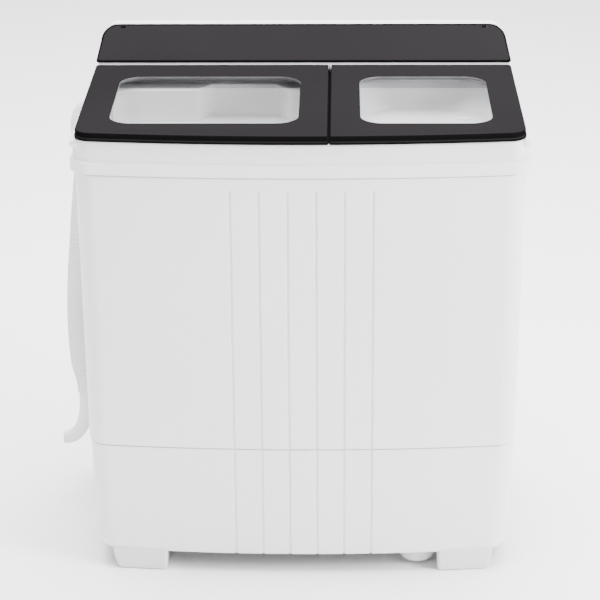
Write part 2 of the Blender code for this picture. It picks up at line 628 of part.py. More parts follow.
def make_wash_tub():
    tub = loft("wash_tub", [
        tub_ring(0.020, TUB_FLOOR - 0.003, 0.003), tub_ring(0.011, TUB_FLOOR + 0.003, 0.003),
        tub_ring(0.008, TUB_FLOOR + 0.015, 0.003), tub_ring(0.0, 0.7455, 0.003),
        tub_ring(0.0, 0.7460, 0.010), tub_ring(0.0, 0.7514, 0.010)])
    cut(tub, loft("tub_hollow", [
        tub_ring(0.020, TUB_FLOOR), tub_ring(0.011, TUB_FLOOR + 0.006), tub_ring(0.008, TUB_FLOOR + 0.018),
        tub_ring(0.0, 0.7455), tub_ring(0.0, 0.78)]),
        rod("shaft_hole", 0.0100, (PULSATOR_X, PULSATOR_Y, 0.28), (PULSATOR_X, PULSATOR_Y, 0.32)),
        rod("drain_hole", 0.0140, (VALVE_X, VALVE_Y, 0.28), (VALVE_X, VALVE_Y, 0.32)))
    as_part(tub, WHITE)

    def column(inset, low, high):
        return plate("overflow_column" if inset == 0 else "column_hollow",
                     [rounded(-0.125 + inset, -0.020 - inset, 0.060 + inset, 0.1215 - inset, 0.010, 2)], low, high)

    body = column(0.0, 0.335, 0.690)
    wall = 0.0025
    join(body, plate("overflow_ledge", [shelf_outline(LEDGE_FACE)], LEDGE_TOP - 0.026, LEDGE_TOP),
         plate("overflow_head", [shelf_outline(HEAD_FACE)], LEDGE_TOP - 0.002, 0.7500))
    cut(body, plate("ledge_hollow", [shelf_outline(LEDGE_FACE, wall)], 0.66, LEDGE_TOP - wall),
        plate("head_hollow", [shelf_outline(HEAD_FACE, wall)], 0.66, 0.7500 - wall),
        column(wall, 0.32, LEDGE_TOP - wall), box("overflow_mouth", (-0.110, 0.05, 0.630), (-0.035, 0.07, 0.662)))
    as_part(body, WHITE)
    strainer = box("lint_filter", (-0.115, 0.0450, 0.520), (-0.030, 0.0590, 0.620))
    cut(strainer, box("filter_hollow", (-0.110, 0.0490, 0.525), (-0.035, 0.0700, 0.615)),
        box("filter_window", (-0.105, 0.03, 0.535), (-0.040, 0.07, 0.605)))
    as_part(strainer, GREY, 0.6)


def make_pulsator():
    centre = (PULSATOR_X, PULSATOR_Y, TUB_FLOOR)
    disc = turned("pulsator", [
        (0.0, 0.030), (0.024, 0.029), (0.034, 0.020), (0.070, 0.012), (0.110, 0.012), (PULSATOR_RADIUS, 0.020),
        (PULSATOR_RADIUS, 0.006), (0.100, 0.002), (0.0085, 0.002), (0.0085, 0.022), (0.0, 0.022)], centre, 24)
    for i in range(3):
        blade = plate(f"pulsator_blade_{i}", [rounded(-0.116, 0.116, -0.009, 0.009, 0.008, 2)],
                      TUB_FLOOR + 0.010, TUB_FLOOR + 0.027,
                      Matrix.Translation((PULSATOR_X, PULSATOR_Y, 0)) @ Matrix.Rotation(radians(60 * i), 4, "Z"))
        join(disc, blade)
    cut(disc, rod("pulsator_socket", 0.0086, (PULSATOR_X, PULSATOR_Y, 0.29), (PULSATOR_X, PULSATOR_Y, 0.322)))
    as_part(disc, WHITE)
    as_part(turned("pulsator_shaft", [(0.0, 0.321), (0.0080, 0.321), (0.0080, 0.2216), (0.0, 0.2216)],
                   (PULSATOR_X, PULSATOR_Y, 0), 20), STEEL, 0.3, 1.0)
    bearing = turned("pulsator_bearing", [
        (0.0095, 0.2965), (0.034, 0.2965), (0.034, 0.290), (0.020, 0.284), (0.020, 0.232), (0.0095, 0.232),
        (0.0095, 0.2965)], (PULSATOR_X, PULSATOR_Y, 0), 24)
    as_part(bearing, GREY, 0.5, 0.8)


def pulley(name, x, y, radius, hub, steps, bore_depth=0.0):
    profile = [(0.0, 0.0088), (hub, 0.0088), (hub, 0.003), (radius - 0.008, 0.003), (radius - 0.008, 0.0055),
               (radius + 0.002, 0.0055), (radius - 0.003, 0.0020), (radius - 0.003, -0.0020),
               (radius + 0.002, -0.0055), (radius - 0.008, -0.0055), (radius - 0.008, -0.003), (hub, -0.003),
               (hub, -0.0055)]
    profile += [(0.0052, -0.0055), (0.0052, -bore_depth), (0.0, -bore_depth)] if bore_depth else [(0.0, -0.0055)]
    return turned(name, profile, (x, y, PULLEY_Z), steps)


def belt_outline(grow):
    """Loop round both pulleys, anticlockwise."""
    dx, dy = MOTOR_X - PULSATOR_X, MOTOR_Y - PULSATOR_Y
    heading = Vector((dx, dy)).angle_signed(Vector((1.0, 0.0))) * 180 / pi
    distance = Vector((dx, dy)).length
    open_angle = 90 - atan((PULLEY_RADIUS - MOTOR_PULLEY_RADIUS) / distance) * 180 / pi
    return (arc(PULSATOR_X, PULSATOR_Y, PULLEY_RADIUS + grow, heading + open_angle,
                heading + 360 - open_angle, 24)
            + arc(MOTOR_X, MOTOR_Y, MOTOR_PULLEY_RADIUS + grow, heading - open_angle, heading + open_angle, 10))


def make_wash_drive():
    as_part(pulley("drive_pulley", PULSATOR_X, PULSATOR_Y, PULLEY_RADIUS, 0.016, 24), GREY, 0.4, 0.8)
    as_part(pulley("motor_pulley", MOTOR_X, MOTOR_Y, MOTOR_PULLEY_RADIUS, 0.012, 16, 0.040), GREY, 0.4, 0.8)
    as_part(plate("drive_belt", [belt_outline(0.0015), belt_outline(-0.0022)], PULLEY_Z - 0.0015, PULLEY_Z + 0.0015),
            RUBBER, 0.8)
    drive_plate = plate("wash_drive_plate", [rounded(-0.327, -0.008, -0.152, 0.172, 0.02, 3)], 0.186, 0.190)
    cut(drive_plate, rod("motor_shaft_hole", 0.012, (MOTOR_X, MOTOR_Y, 0.18), (MOTOR_X, MOTOR_Y, 0.2)),
        rod("bearing_hole", 0.012, (PULSATOR_X, PULSATOR_Y, 0.18), (PULSATOR_X, PULSATOR_Y, 0.2)),
        box("riser_notch", (-0.34, 0.115, 0.18), (-0.293, 0.18, 0.2)))
    as_part(drive_plate, GREY, 0.5, 0.8)
    motor = turned("wash_motor", [
        (0.0, 0.1857), (0.030, 0.1857), (0.030, 0.178), (0.056, 0.172), (0.058, 0.165), (0.058, 0.095),
        (0.054, 0.086), (0.028, 0.080), (0.0, 0.080)], (MOTOR_X, MOTOR_Y, 0), 20)
    cut(motor, rod("wash_motor_bore", 0.0066, (MOTOR_X, MOTOR_Y, 0.150), (MOTOR_X, MOTOR_Y, 0.20)))
    as_part(motor, GREY, 0.4, 0.8)


def make_drain():
    body = turned("drain_valve", [
        (0.0, 0.2966), (0.022, 0.2966), (0.022, 0.290), (0.018, 0.288), (0.018, 0.240), (0.0, 0.240)],
        (VALVE_X, VALVE_Y, 0), 20)
    cut(body, rod("valve_bore", 0.0130, (VALVE_X, VALVE_Y, 0.25), (VALVE_X, VALVE_Y, 0.31)))
    as_part(body, WHITE)
    as_part(turned("drain_valve_plunger", [
        (0.0, 0.400), (0.0035, 0.400), (0.0035, 0.312), (0.0170, 0.307), (0.0170, 0.3005), (0.0, 0.3005)],
        (VALVE_X, VALVE_Y, 0), 20), RUBBER, 0.7)
    pump = rod("drain_pump", 0.027, (-0.300, 0.183, 0.075), (-0.205, 0.183, 0.075), 24)
    join(pump, rod("pump_outlet", 0.0095, (-0.287, 0.183, 0.080), (-0.287, 0.183, 0.1100)),
         rod("pump_inlet", 0.0095, (-0.220, 0.183, 0.080), (-0.220, 0.183, 0.1120)))
    as_part(pump, GREY, 0.5)
    riser = smooth_path([(-0.287, 0.183, 0.1107), (-0.2871, 0.1829, 0.14), (-0.3175, 0.150, 0.20), (-0.330, 0.112, 0.26),
                         (-0.336, ELBOW_Y, 0.32), (-0.336, ELBOW_Y, 0.45), (-0.336, ELBOW_Y, 0.58),
                         (-0.336, ELBOW_Y, 0.6847)], 26)
    as_part(tube("drain_riser", riser, 0.0078), GREY, 0.6)


def drain_route():
    """Centreline of the elbow outside and inside the side wall, and of the hose."""
    elbow = [(-0.336, ELBOW_Y, 0.6850), (-0.336, ELBOW_Y, 0.6995)]
    elbow += [(-0.355 + 0.019 * cos(radians(a)), ELBOW_Y, 0.6995 + 0.019 * sin(radians(a)))
              for a in range(15, 180, 15)]
    elbow += [(-0.374, ELBOW_Y, z) for z in (0.6995, 0.688, 0.660, 0.635, 0.612)]
    hose = [(-0.374, ELBOW_Y, 0.6114), (-0.374, ELBOW_Y, 0.598), (-0.3768, ELBOW_Y, 0.578), (-0.3825, 0.1020, 0.530),
            (-0.3877, 0.1005, 0.475), (-0.3930, 0.0990, 0.420), (-0.3968, 0.0985, 0.3635), (-0.3980, 0.0990, 0.310),
            (-0.3955, 0.1000, 0.249), (-0.3880, 0.1000, 0.215), (-0.3860, 0.1000, 0.200), (-0.3860, 0.1000, 0.190)]
    nozzle = [(-0.3860, 0.1000, 0.1892), (-0.3860, 0.1000, 0.176), (-0.3872, 0.1000, 0.154), (-0.3925, 0.1000, 0.130),
              (-0.4005, 0.1000, 0.1135), (-0.4100, 0.1000, 0.1035), (-0.4195, 0.1000, 0.1000), (-0.4285, 0.1000, 0.1003)]
    return elbow, hose, nozzle


def make_drain_hose():
    elbow, hose, nozzle = drain_route()
    scales = [0.60 if x > -0.362 else 0.68 if z > 0.690 else 1.0 for x, _, z in elbow]
    as_part(tube("drain_elbow", elbow, 0.0170, 2, scales), WHITE)
    as_part(tube("drain_hose", smooth_path(hose, 30), HOSE_RADIUS, 2), WHITE)
    as_part(tube("hose_nozzle", smooth_path(nozzle, 18), NOZZLE_RADIUS, 2), WHITE)
    gland = rod("mains_gland", 0.0080, (0.280, 0.2125, 0.120), (0.280, 0.2226, 0.120), 20)
    join(gland, rod("gland_flange", 0.0120, (0.280, 0.2222, 0.120), (0.280, REAR_Y - 0.0008, 0.120), 20))
    cut(gland, rod("gland_bore", 0.0040, (0.280, 0.20, 0.120), (0.280, 0.24, 0.120), 12))
    as_part(gland, RUBBER, 0.7)


# Spin side

def make_spin_tub():
    centre = (SPIN_X, SPIN_Y, 0)
    r = SPIN_TUB_RADIUS
    as_part(turned("spin_tub", [
        (r - 0.003, 0.7045), (r, 0.7045), (r, 0.375), (r - 0.012, 0.362), (0.0135, 0.362), (0.0135, 0.365),
        (r - 0.014, 0.365), (r - 0.003, 0.377), (r - 0.003, 0.7045)], centre, 28), WHITE)
    b = BASKET_RADIUS
    as_part(turned("spin_basket", [
        (0.086, 0.6990), (b - 0.004, 0.7000), (b, 0.6960), (b, 0.4100), (b - 0.010, 0.3960), (0.016, 0.3960),
        (0.016, 0.3900), (0.0084, 0.3900), (0.0084, 0.4150), (0.0, 0.4150), (0.0, 0.4300), (0.014, 0.4250),
        (0.030, 0.4000), (b - 0.012, 0.3995), (b - 0.003, 0.4120), (b - 0.003, 0.6940), (0.086, 0.6955),
        (0.086, 0.6990)], centre, 28), WHITE)
    as_part(turned("spin_shaft", [(0.0, 0.4140), (0.0080, 0.4140), (0.0080, 0.2903), (0.0, 0.2903)], centre, 20),
            STEEL, 0.3, 1.0)
    as_part(turned("shaft_seal", [
        (0.0090, 0.3720), (0.0130, 0.3720), (0.0130, 0.3617), (0.0240, 0.3617), (0.0300, 0.3500), (0.0240, 0.3400),
        (0.0090, 0.3400), (0.0090, 0.3720)], centre, 24), RUBBER, 0.8)
    drum = turned("brake_drum", [
        (0.0, 0.2900), (0.0420, 0.2900), (0.0420, 0.2640), (0.0120, 0.2640), (0.0120, 0.2520), (0.0052, 0.2520),
        (0.0052, 0.2150), (0.0, 0.2150)], centre, 24)
    as_part(drum, GREY, 0.4, 0.8)
    disc = turned("safety_disc", [
        (0.0215, 0.0060), (0.0820, 0.0060), (0.0820, 0.0), (0.0780, 0.0), (0.0780, 0.0030), (0.0215, 0.0030),
        (0.0215, 0.0060)], (SPIN_X, SPIN_Y, 0.4160), 24)
    as_part(disc, WHITE)


def make_spin_motor():
    motor = turned("spin_motor", [
        (0.0, 0.2480), (0.024, 0.2480), (0.028, 0.2380), (0.052, 0.2320), (0.055, 0.2250), (0.055, 0.1380),
        (0.062, 0.1300), (0.075, 0.1300), (0.075, 0.1240), (0.0, 0.1240)], (SPIN_X, SPIN_Y, 0), 20)
    cut(motor, rod("spin_motor_bore", 0.0066, (SPIN_X, SPIN_Y, 0.21), (SPIN_X, SPIN_Y, 0.26)))
    as_part(motor, GREY, 0.4, 0.8)
    for i in range(3):
        angle = radians(90 + 120 * i)
        x, y = SPIN_X + 0.056 * cos(angle), SPIN_Y + 0.056 * sin(angle)
        turns, per_turn, radius, low, high = 3.5, 8, 0.011, 0.0438, 0.1216
        coil = [(x + radius * cos(2 * pi * k / per_turn), y + radius * sin(2 * pi * k / per_turn),
                 low + (high - low) * k / (turns * per_turn)) for k in range(int(turns * per_turn) + 1)]
        as_part(tube(f"damper_spring_{i + 1}", coil, 0.0020), STEEL, 0.3, 1.0)


def make_brake():
    pivot = (SPIN_X + 0.062, SPIN_Y + 0.040, 0.277)
    lever = rod("brake_lever", 0.0070, (pivot[0], pivot[1], 0.270), (pivot[0], pivot[1], 0.284))
    join(lever, box("brake_arm", (pivot[0] - 0.004, pivot[1] - 0.046, 0.274), (pivot[0] + 0.004, pivot[1], 0.280)),
         box("brake_pad", (pivot[0] - 0.0185, pivot[1] - 0.046, 0.268), (pivot[0] + 0.004, pivot[1] - 0.034, 0.286)))
    as_part(lever, STEEL, 0.4, 1.0, origin=pivot)
    cable = smooth_path([(0.3353, 0.0965, 0.7240), (0.3353, 0.0965, 0.66), (0.3345, 0.090, 0.55), (0.332, 0.070, 0.45),
                         (0.320, 0.045, 0.36), (0.300, 0.015, 0.31), (0.278, -0.012, 0.2880)], 24)
    as_part(tube("brake_cable", cable, 0.0020), RUBBER, 0.6)
    switch = box("lid_switch", (0.3255, 0.085, 0.7250), (0.3455, 0.115, 0.7510))
    cut(switch, rod("switch_bore", 0.0036, (0.335, 0.100, 0.735), (0.335, 0.100, 0.76), 12))
    as_part(switch, GREY, 0.6)
    as_part(rod("lid_switch_plunger", 0.0030, (0.335, 0.100, 0.7365), (0.335, 0.100, 0.7567), 12), RUBBER, 0.5,
            origin=(0.335, 0.100, 0.7365))


clear_scene()
PARTS = new_collection("twin_tub_washer")
TOOLS = new_collection("cutters")
make_base()
make_cabinet()
make_feet()
make_deck()
make_lids()
make_console()
make_wash_tub()
make_pulsator()
make_wash_drive()
make_drain()
make_drain_hose()
make_spin_tub()
make_spin_motor()
make_brake()
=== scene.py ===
"""Looks of the twin tub washer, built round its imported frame. Metres, +Z up, front towards -Y."""

import json
from math import atan, cos, exp, pi, radians, sin

import bmesh
import bpy
import numpy as np
from mathutils import Matrix, Vector


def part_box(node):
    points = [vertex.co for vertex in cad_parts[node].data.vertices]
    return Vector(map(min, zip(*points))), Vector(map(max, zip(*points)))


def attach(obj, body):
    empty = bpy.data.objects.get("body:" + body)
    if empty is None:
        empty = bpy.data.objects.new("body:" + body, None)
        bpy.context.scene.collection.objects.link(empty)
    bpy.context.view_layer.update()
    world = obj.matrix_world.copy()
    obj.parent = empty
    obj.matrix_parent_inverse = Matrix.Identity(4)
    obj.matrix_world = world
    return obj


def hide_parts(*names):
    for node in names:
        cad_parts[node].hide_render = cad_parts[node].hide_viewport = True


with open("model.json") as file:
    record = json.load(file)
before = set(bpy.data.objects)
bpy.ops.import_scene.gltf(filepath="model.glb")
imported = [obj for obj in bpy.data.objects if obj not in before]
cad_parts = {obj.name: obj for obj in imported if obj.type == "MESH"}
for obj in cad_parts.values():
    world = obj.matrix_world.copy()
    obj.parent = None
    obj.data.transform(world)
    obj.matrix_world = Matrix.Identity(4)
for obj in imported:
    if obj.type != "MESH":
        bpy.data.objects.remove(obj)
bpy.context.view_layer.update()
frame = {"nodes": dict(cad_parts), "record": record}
NODES = frame["nodes"]
moved = Matrix.Translation

# Shape values that the frame's boxes don't give
FRONT_BOW = 0.02
GROOVE_PITCH = 0.0446
GROOVE_SHIFT = 0.0026
GROOVE_HALF_WIDTH = 0.0025
GROOVE_DEPTH = 0.0029
GROOVE_TOP = 0.683

# Camera: long lens, a little above and to the right of the machine
CAMERA_PLACE = Vector((0.062, -3.444, 1.8547))
CAMERA_PITCH = radians(22.81)
CAMERA_TURN = radians(1.116)
CAMERA_ROLL = radians(-0.368)
CAMERA_LENS = 133.1
SKY_LEVEL = 0.7
COVE_LEVEL = 1.7


# Camera, light and floor

def make_camera():
    data = bpy.data.cameras.new("camera")
    data.lens = CAMERA_LENS
    data.sensor_width = 36
    data.clip_end = 50
    camera = bpy.data.objects.new("camera", data)
    bpy.context.scene.collection.objects.link(camera)
    turn = Matrix.Rotation(CAMERA_TURN, 4, "Z") @ Matrix.Rotation(pi / 2 - CAMERA_PITCH, 4, "X")
    camera.matrix_world = moved(CAMERA_PLACE) @ turn @ Matrix.Rotation(CAMERA_ROLL, 4, "Z")
    bpy.context.scene.camera = camera


def area_light(name, place, target, size, power):
    data = bpy.data.lights.new(name, "AREA")
    data.shape = "RECTANGLE"
    data.size, data.size_y = size
    data.energy = power
    light = bpy.data.objects.new(name, data)
    bpy.context.scene.collection.objects.link(light)
    light.location = place
    light.rotation_euler = (Vector(target) - Vector(place)).to_track_quat("-Z", "Y").to_euler()


def feed(tree, node, name, value):
    """Links an input of a node to the socket given, or sets it to the value given."""
    if isinstance(value, bpy.types.NodeSocket):
        tree.links.new(value, node.inputs[name])
    else:
        node.inputs[name].default_value = value


def add(tree, kind, inputs=(), **settings):
    """New shader node with its settings and inputs."""
    node = tree.nodes.new("ShaderNode" + kind)
    for name, value in settings.items():
        setattr(node, name, value)
    for name, value in dict(inputs).items():
        feed(tree, node, name, value)
    return node


def make_world():
    """Even sky with a broad bright wall low behind the machine, as in a white cove."""
    world = bpy.data.worlds.new("studio")
    bpy.context.scene.world = world
    world.use_nodes = True
    tree = world.node_tree
    coords = add(tree, "TexCoord")
    parts = add(tree, "SeparateXYZ", {"Vector": coords.outputs["Generated"]})
    shares = [add(tree, "MapRange", {"From Min": start, "From Max": end, "Value": parts.outputs[axis]},
                  interpolation_type="SMOOTHSTEP").outputs["Result"]
              for axis, start, end in (("Y", 0.2, 0.7), ("Z", 0.85, 0.55))]
    wall = add(tree, "Math", {0: shares[0], 1: shares[1]}, operation="MULTIPLY")
    strength = add(tree, "MapRange", {"To Min": SKY_LEVEL, "To Max": COVE_LEVEL,
                                      "Value": wall.outputs["Value"]})
    feed(tree, tree.nodes["Background"], "Strength", strength.outputs["Result"])
    feed(tree, tree.nodes["Background"], "Color", (1.0, 1.0, 1.0, 1.0))


def make_studio():
    make_world()
    area_light("key", (3.2, -1.6, 1.9), (0, 0, 0.45), (1.2, 1.2), 260)
    area_light("fill", (-2.6, -2.6, 1.6), (0, 0, 0.4), (2.0, 2.0), 6)
    area_light("overhead", (0.0, 0.4, 4.2), (0, 0.1, 0), (4.5, 4.5), 900)
    bpy.ops.mesh.primitive_plane_add(size=24, location=(0, 0, 0))
    floor = bpy.context.active_object
    floor.name = "studio_floor"
    floor.data.materials.append(floor_material())


# Materials

def new_material(name):
    material = bpy.data.materials.new(name)
    material.use_nodes = True
    return material, material.node_tree, material.node_tree.nodes["Principled BSDF"]


def noise(tree, scale, detail=4.0, roughness=0.5):
    coords = add(tree, "TexCoord")
    return add(tree, "TexNoise", {"Scale": scale, "Detail": detail, "Roughness": roughness,
                                  "Vector": coords.outputs["Object"]}).outputs["Fac"]


def ramp(tree, source, low, high):
    """Colour that runs from low to high as source runs over its middle range."""
    node = add(tree, "ValToRGB", {"Fac": source})
    for element, position, colour in zip(node.color_ramp.elements, (0.3, 0.7), (low, high)):
        element.position = position
        element.color = (*colour, 1.0)
    return node.outputs["Color"]


def span(tree, source, low, high):
    """Number that runs from low to high as source runs over its middle range."""
    return add(tree, "MapRange", {"From Min": 0.3, "From Max": 0.7, "To Min": low, "To Max": high,
                                  "Value": source}).outputs["Result"]


def bump(tree, shader, height, distance, strength=1.0):
    node = add(tree, "Bump", {"Strength": strength, "Distance": distance, "Height": height})
    feed(tree, shader, "Normal", node.outputs["Normal"])


def scaled(colour, factor):
    return tuple(min(1.0, c * factor) for c in colour)


def plastic(name, colour, roughness, grain=900.0, grain_depth=0.00003, mottle=0.02, specular=0.5):
    """Moulded plastic: a faint drift of tone, uneven gloss and a fine moulded grain."""
    material, tree, shader = new_material(name)
    drift = noise(tree, 3.5, 3.0)
    feed(tree, shader, "Base Color", ramp(tree, drift, scaled(colour, 1 - mottle),
                                          scaled(colour, 1 + mottle)))
    feed(tree, shader, "Roughness", span(tree, noise(tree, 26.0, 5.0), roughness - 0.04, roughness + 0.05))
    bump(tree, shader, noise(tree, grain, 2.0), grain_depth, 0.6)
    feed(tree, shader, "Specular IOR Level", specular)
    return material


def metal(name, colour, roughness, stretch=(1.0, 1.0, 40.0)):
    """Turned or drawn metal with fine streaks."""
    material, tree, shader = new_material(name)
    coords = add(tree, "TexCoord")
    mapping = add(tree, "Mapping", {"Scale": stretch, "Vector": coords.outputs["Object"]})
    streaks = add(tree, "TexNoise", {"Scale": 40.0, "Detail": 5.0,
                                     "Vector": mapping.outputs["Vector"]}).outputs["Fac"]
    feed(tree, shader, "Base Color", ramp(tree, streaks, scaled(colour, 0.85), scaled(colour, 1.1)))
    feed(tree, shader, "Roughness", span(tree, streaks, roughness - 0.08, roughness + 0.12))
    feed(tree, shader, "Metallic", 1.0)
    bump(tree, shader, streaks, 0.00004, 0.5)
    return material


def clear_plastic():
    """Clear window with a faint smoky tint. It mirrors more at a low angle, with wipe marks in its gloss."""
    material, tree, shader = new_material("window_clear")
    tree.nodes.remove(shader)
    tint = ramp(tree, noise(tree, 9.0, 4.0), (0.88, 0.88, 0.885), (0.92, 0.92, 0.925))
    through = add(tree, "BsdfTransparent", {"Color": tint})
    gloss = add(tree, "BsdfGlossy", {"Roughness": span(tree, noise(tree, 14.0, 5.0), 0.0, 0.02)})
    share = add(tree, "Fresnel", {"IOR": 1.6})
    side = add(tree, "NewGeometry")
    # Only the outer faces mirror.
    front = add(tree, "Math", {0: share.outputs["Fac"], 1: side.outputs["Backfacing"]},
                operation="SUBTRACT", use_clamp=True)
    mix = add(tree, "MixShader", {"Fac": front.outputs["Value"], 1: through.outputs["BSDF"],
                                  2: gloss.outputs["BSDF"]})
    feed(tree, tree.nodes["Material Output"], "Surface", mix.outputs["Shader"])
    return material


def floor_material():
    material, tree, shader = new_material("studio_floor")
    feed(tree, shader, "Roughness", 0.9)
    feed(tree, shader, "Base Color", ramp(tree, noise(tree, 2.0), (0.955,) * 3, (0.965,) * 3))
    return material


WHITE = (0.83, 0.83, 0.845)
DARK = (0.0115, 0.0105, 0.0115)
GLOSSY = {"grain": 1400.0, "grain_depth": 0.00001, "specular": 0.0}
MATERIALS = {
    "white_plastic": plastic("white_shell", WHITE, 0.34),
    "foot_plastic": plastic("white_foot", (0.7, 0.7, 0.71), 0.5),
    "tub_plastic": plastic("white_tub", (0.84, 0.84, 0.85), 0.24, grain=500.0, grain_depth=0.00002),
    "dark_plastic": plastic("dark_gloss", DARK, 0.16, mottle=0.05, **GLOSSY),
    # Painted light: a lighter copy of the lid's dark plastic for the flap, which faces the light at a
    # different angle.
    "dark_flap_painted_light": plastic("dark_flap_painted_light", scaled(DARK, 1.45), 0.18, mottle=0.05, **GLOSSY),
    # Painted shade: a darker copy of the dark plastic for side faces and edges that read in shade.
    "dark_rim_painted_shade": plastic("dark_rim_painted_shade", scaled(DARK, 0.35), 0.4, **GLOSSY),
    # Painted highlight: a slightly lighter dark for the thin line along the lid's step.
    "lid_seam_painted_highlight": plastic("lid_seam_painted_highlight", (0.013, 0.013, 0.0135), 0.5, specular=0.0),
    # Partly painted light: a mid grey for the lid's underside that brightens the shaded band seen through the
    # window.
    "lid_liner_painted_light": plastic("lid_liner_painted_light", (0.24, 0.24, 0.245), 0.5),
    "clear_plastic": clear_plastic(),
    "hose_plastic": plastic("white_hose", (0.78, 0.78, 0.79), 0.42, grain=700.0),
    "grey_plastic": plastic("grey_inner", (0.3, 0.3, 0.31), 0.5, grain=600.0),
    "machine_metal": metal("motor_enamel", (0.3, 0.31, 0.33), 0.5),
    "cast_metal": metal("cast_alloy", (0.62, 0.62, 0.63), 0.38, (1.0, 1.0, 1.0)),
    "bright_steel": metal("bright_steel", (0.62, 0.62, 0.64), 0.26),
    "black_rubber": plastic("black_rubber", (0.03, 0.03, 0.031), 0.75, grain=400.0, grain_depth=0.00008),
}


def dress_frame():
    """Every frame node gets the material of its slot."""
    slots = {part["node"]: part["material_slot"] for part in frame["record"]["subparts"]}
    for name, node in NODES.items():
        node.data.materials.clear()
        node.data.materials.append(MATERIALS[slots[name]])
        node.data.shade_smooth()
        node.data.set_sharp_from_angle(angle=radians(35))


# Mesh making

SMOOTH_ANGLE = radians(32)


def mesh_object(name, bm):
    mesh = bpy.data.meshes.new(name)
    bmesh.ops.recalc_face_normals(bm, faces=bm.faces)
    bm.to_mesh(mesh)
    bm.free()
    mesh.shade_smooth()
    mesh.set_sharp_from_angle(angle=SMOOTH_ANGLE)
    obj = bpy.data.objects.new(name, mesh)
    bpy.context.scene.collection.objects.link(obj)
    return obj


def stack(name, rings, closed=False):
    """Solid through rings of equal length. closed joins the last to the first; if not, both are capped."""
    bm = bmesh.new()
    loops = [[bm.verts.new(point) for point in ring] for ring in rings]
    count = len(loops[0])
    pairs = list(zip(loops, loops[1:])) + ([(loops[-1], loops[0])] if closed else [])
    for lower, upper in pairs:
        for i in range(count):
            j = (i + 1) % count
            bm.faces.new((lower[i], lower[j], upper[j], upper[i]))
    if not closed:
        bm.faces.new(loops[0])
        bm.faces.new(loops[-1])
    return mesh_object(name, bm)


def rounded_box(name, low, high, radius, segments=3, place=Matrix()):
    low, high = Vector(low), Vector(high)
    bm = bmesh.new()
    size = Matrix.Diagonal((*(high - low), 1.0))
    bmesh.ops.create_cube(bm, size=1.0, matrix=moved((low + high) / 2) @ size)
    bmesh.ops.bevel(bm, geom=bm.edges[:], offset=radius, segments=segments, profile=0.5, affect="EDGES",
                    clamp_overlap=True)
    bm.transform(place)
    return mesh_object(name, bm)


def turned(name, profile, centre, steps=72):
    """Round solid from (radius, height) pairs, which close on the axis or on themselves."""
    bm = bmesh.new()
    loops = []
    for radius, height in profile:
        if radius == 0.0:
            loops.append([bm.verts.new((0.0, 0.0, height))])
        else:
            loops.append([bm.verts.new((radius * cos(2 * pi * i / steps), radius * sin(2 * pi * i / steps),
                                        height))
                          for i in range(steps)])
    ring = profile[0][0] != 0.0
    for upper, lower in list(zip(loops, loops[1:])) + ([(loops[-1], loops[0])] if ring else []):
        for i in range(steps):
            j = (i + 1) % steps
            corners = [upper[i % len(upper)], lower[i % len(lower)], lower[j % len(lower)],
                       upper[j % len(upper)]]
            corners = [c for k, c in enumerate(corners) if c not in corners[:k]]
            if len(corners) > 2:
                bm.faces.new(corners)
    bm.transform(moved(centre))
    return mesh_object(name, bm)


def block(low, high, radius, segments=3, place=Matrix()):
    """Rounded box that cuts or joins a piece."""
    return rounded_box("tool", low, high, radius, segments, place)


def rod(radius, start, end, sides=48):
    """Cylinder between two points that cuts or joins a piece."""
    start, end = Vector(start), Vector(end)
    along = end - start
    bm = bmesh.new()
    bmesh.ops.create_cone(bm, cap_ends=True, segments=sides, radius1=radius, radius2=radius,
                          depth=along.length)
    bm.transform(moved((start + end) / 2) @ along.to_track_quat("Z", "Y").to_matrix().to_4x4())
    return mesh_object("tool", bm)


def solid(rings):
    """Solid through rings that cuts or joins a piece."""
    return stack("tool", rings)


def apply_booleans(obj, cutters=(), joiners=()):
    for tool, operation in [(t, "UNION") for t in joiners] + [(t, "DIFFERENCE") for t in cutters]:
        modifier = obj.modifiers.new("shape", "BOOLEAN")
        modifier.object = tool
        modifier.operation = operation
        modifier.solver = "EXACT"
    evaluated = obj.evaluated_get(bpy.context.evaluated_depsgraph_get())
    mesh = bpy.data.meshes.new_from_object(evaluated)
    obj.modifiers.clear()
    obj.data = mesh
    mesh.shade_smooth()
    mesh.set_sharp_from_angle(angle=SMOOTH_ANGLE)
    for tool in (*cutters, *joiners):
        bpy.data.objects.remove(tool)
    return obj


def dress(obj, slot, body, *nodes, material=None):
    """Gives a piece its material, its body and the frame nodes that it stands for."""
    obj.data.materials.clear()
    obj.data.materials.append(material or MATERIALS[slot])
    if obj.type == "MESH":
        # Broad flat faces keep flat shading next to their rounded edges.
        flat = obj.modifiers.new("flat_faces", "WEIGHTED_NORMAL")
        flat.keep_sharp = True
    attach(obj, body)
    if nodes:
        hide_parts(*nodes)
    return obj


def paint(obj, material, chosen):
    """Gives the faces that chosen picks another material."""
    obj.data.materials.append(MATERIALS[material])
    for face in obj.data.polygons:
        if chosen(face):
            face.material_index = len(obj.data.materials) - 1


def arc(cx, cy, radius, start, end, steps):
    angles = [radians(start + (end - start) * i / steps) for i in range(steps + 1)]
    return [(cx + radius * cos(a), cy + radius * sin(a)) for a in angles]


def rounded(left, right, front, rear, radius, steps=10):
    """Rectangle with round corners, anticlockwise."""
    return (
        arc(right - radius, front + radius, radius, -90, 0, steps)
        + arc(right - radius, rear - radius, radius, 0, 90, steps)
        + arc(left + radius, rear - radius, radius, 90, 180, steps)
        + arc(left + radius, front + radius, radius, 180, 270, steps)
    )


def at_height(outline, z):
    return [(x, y, z) for x, y in outline]


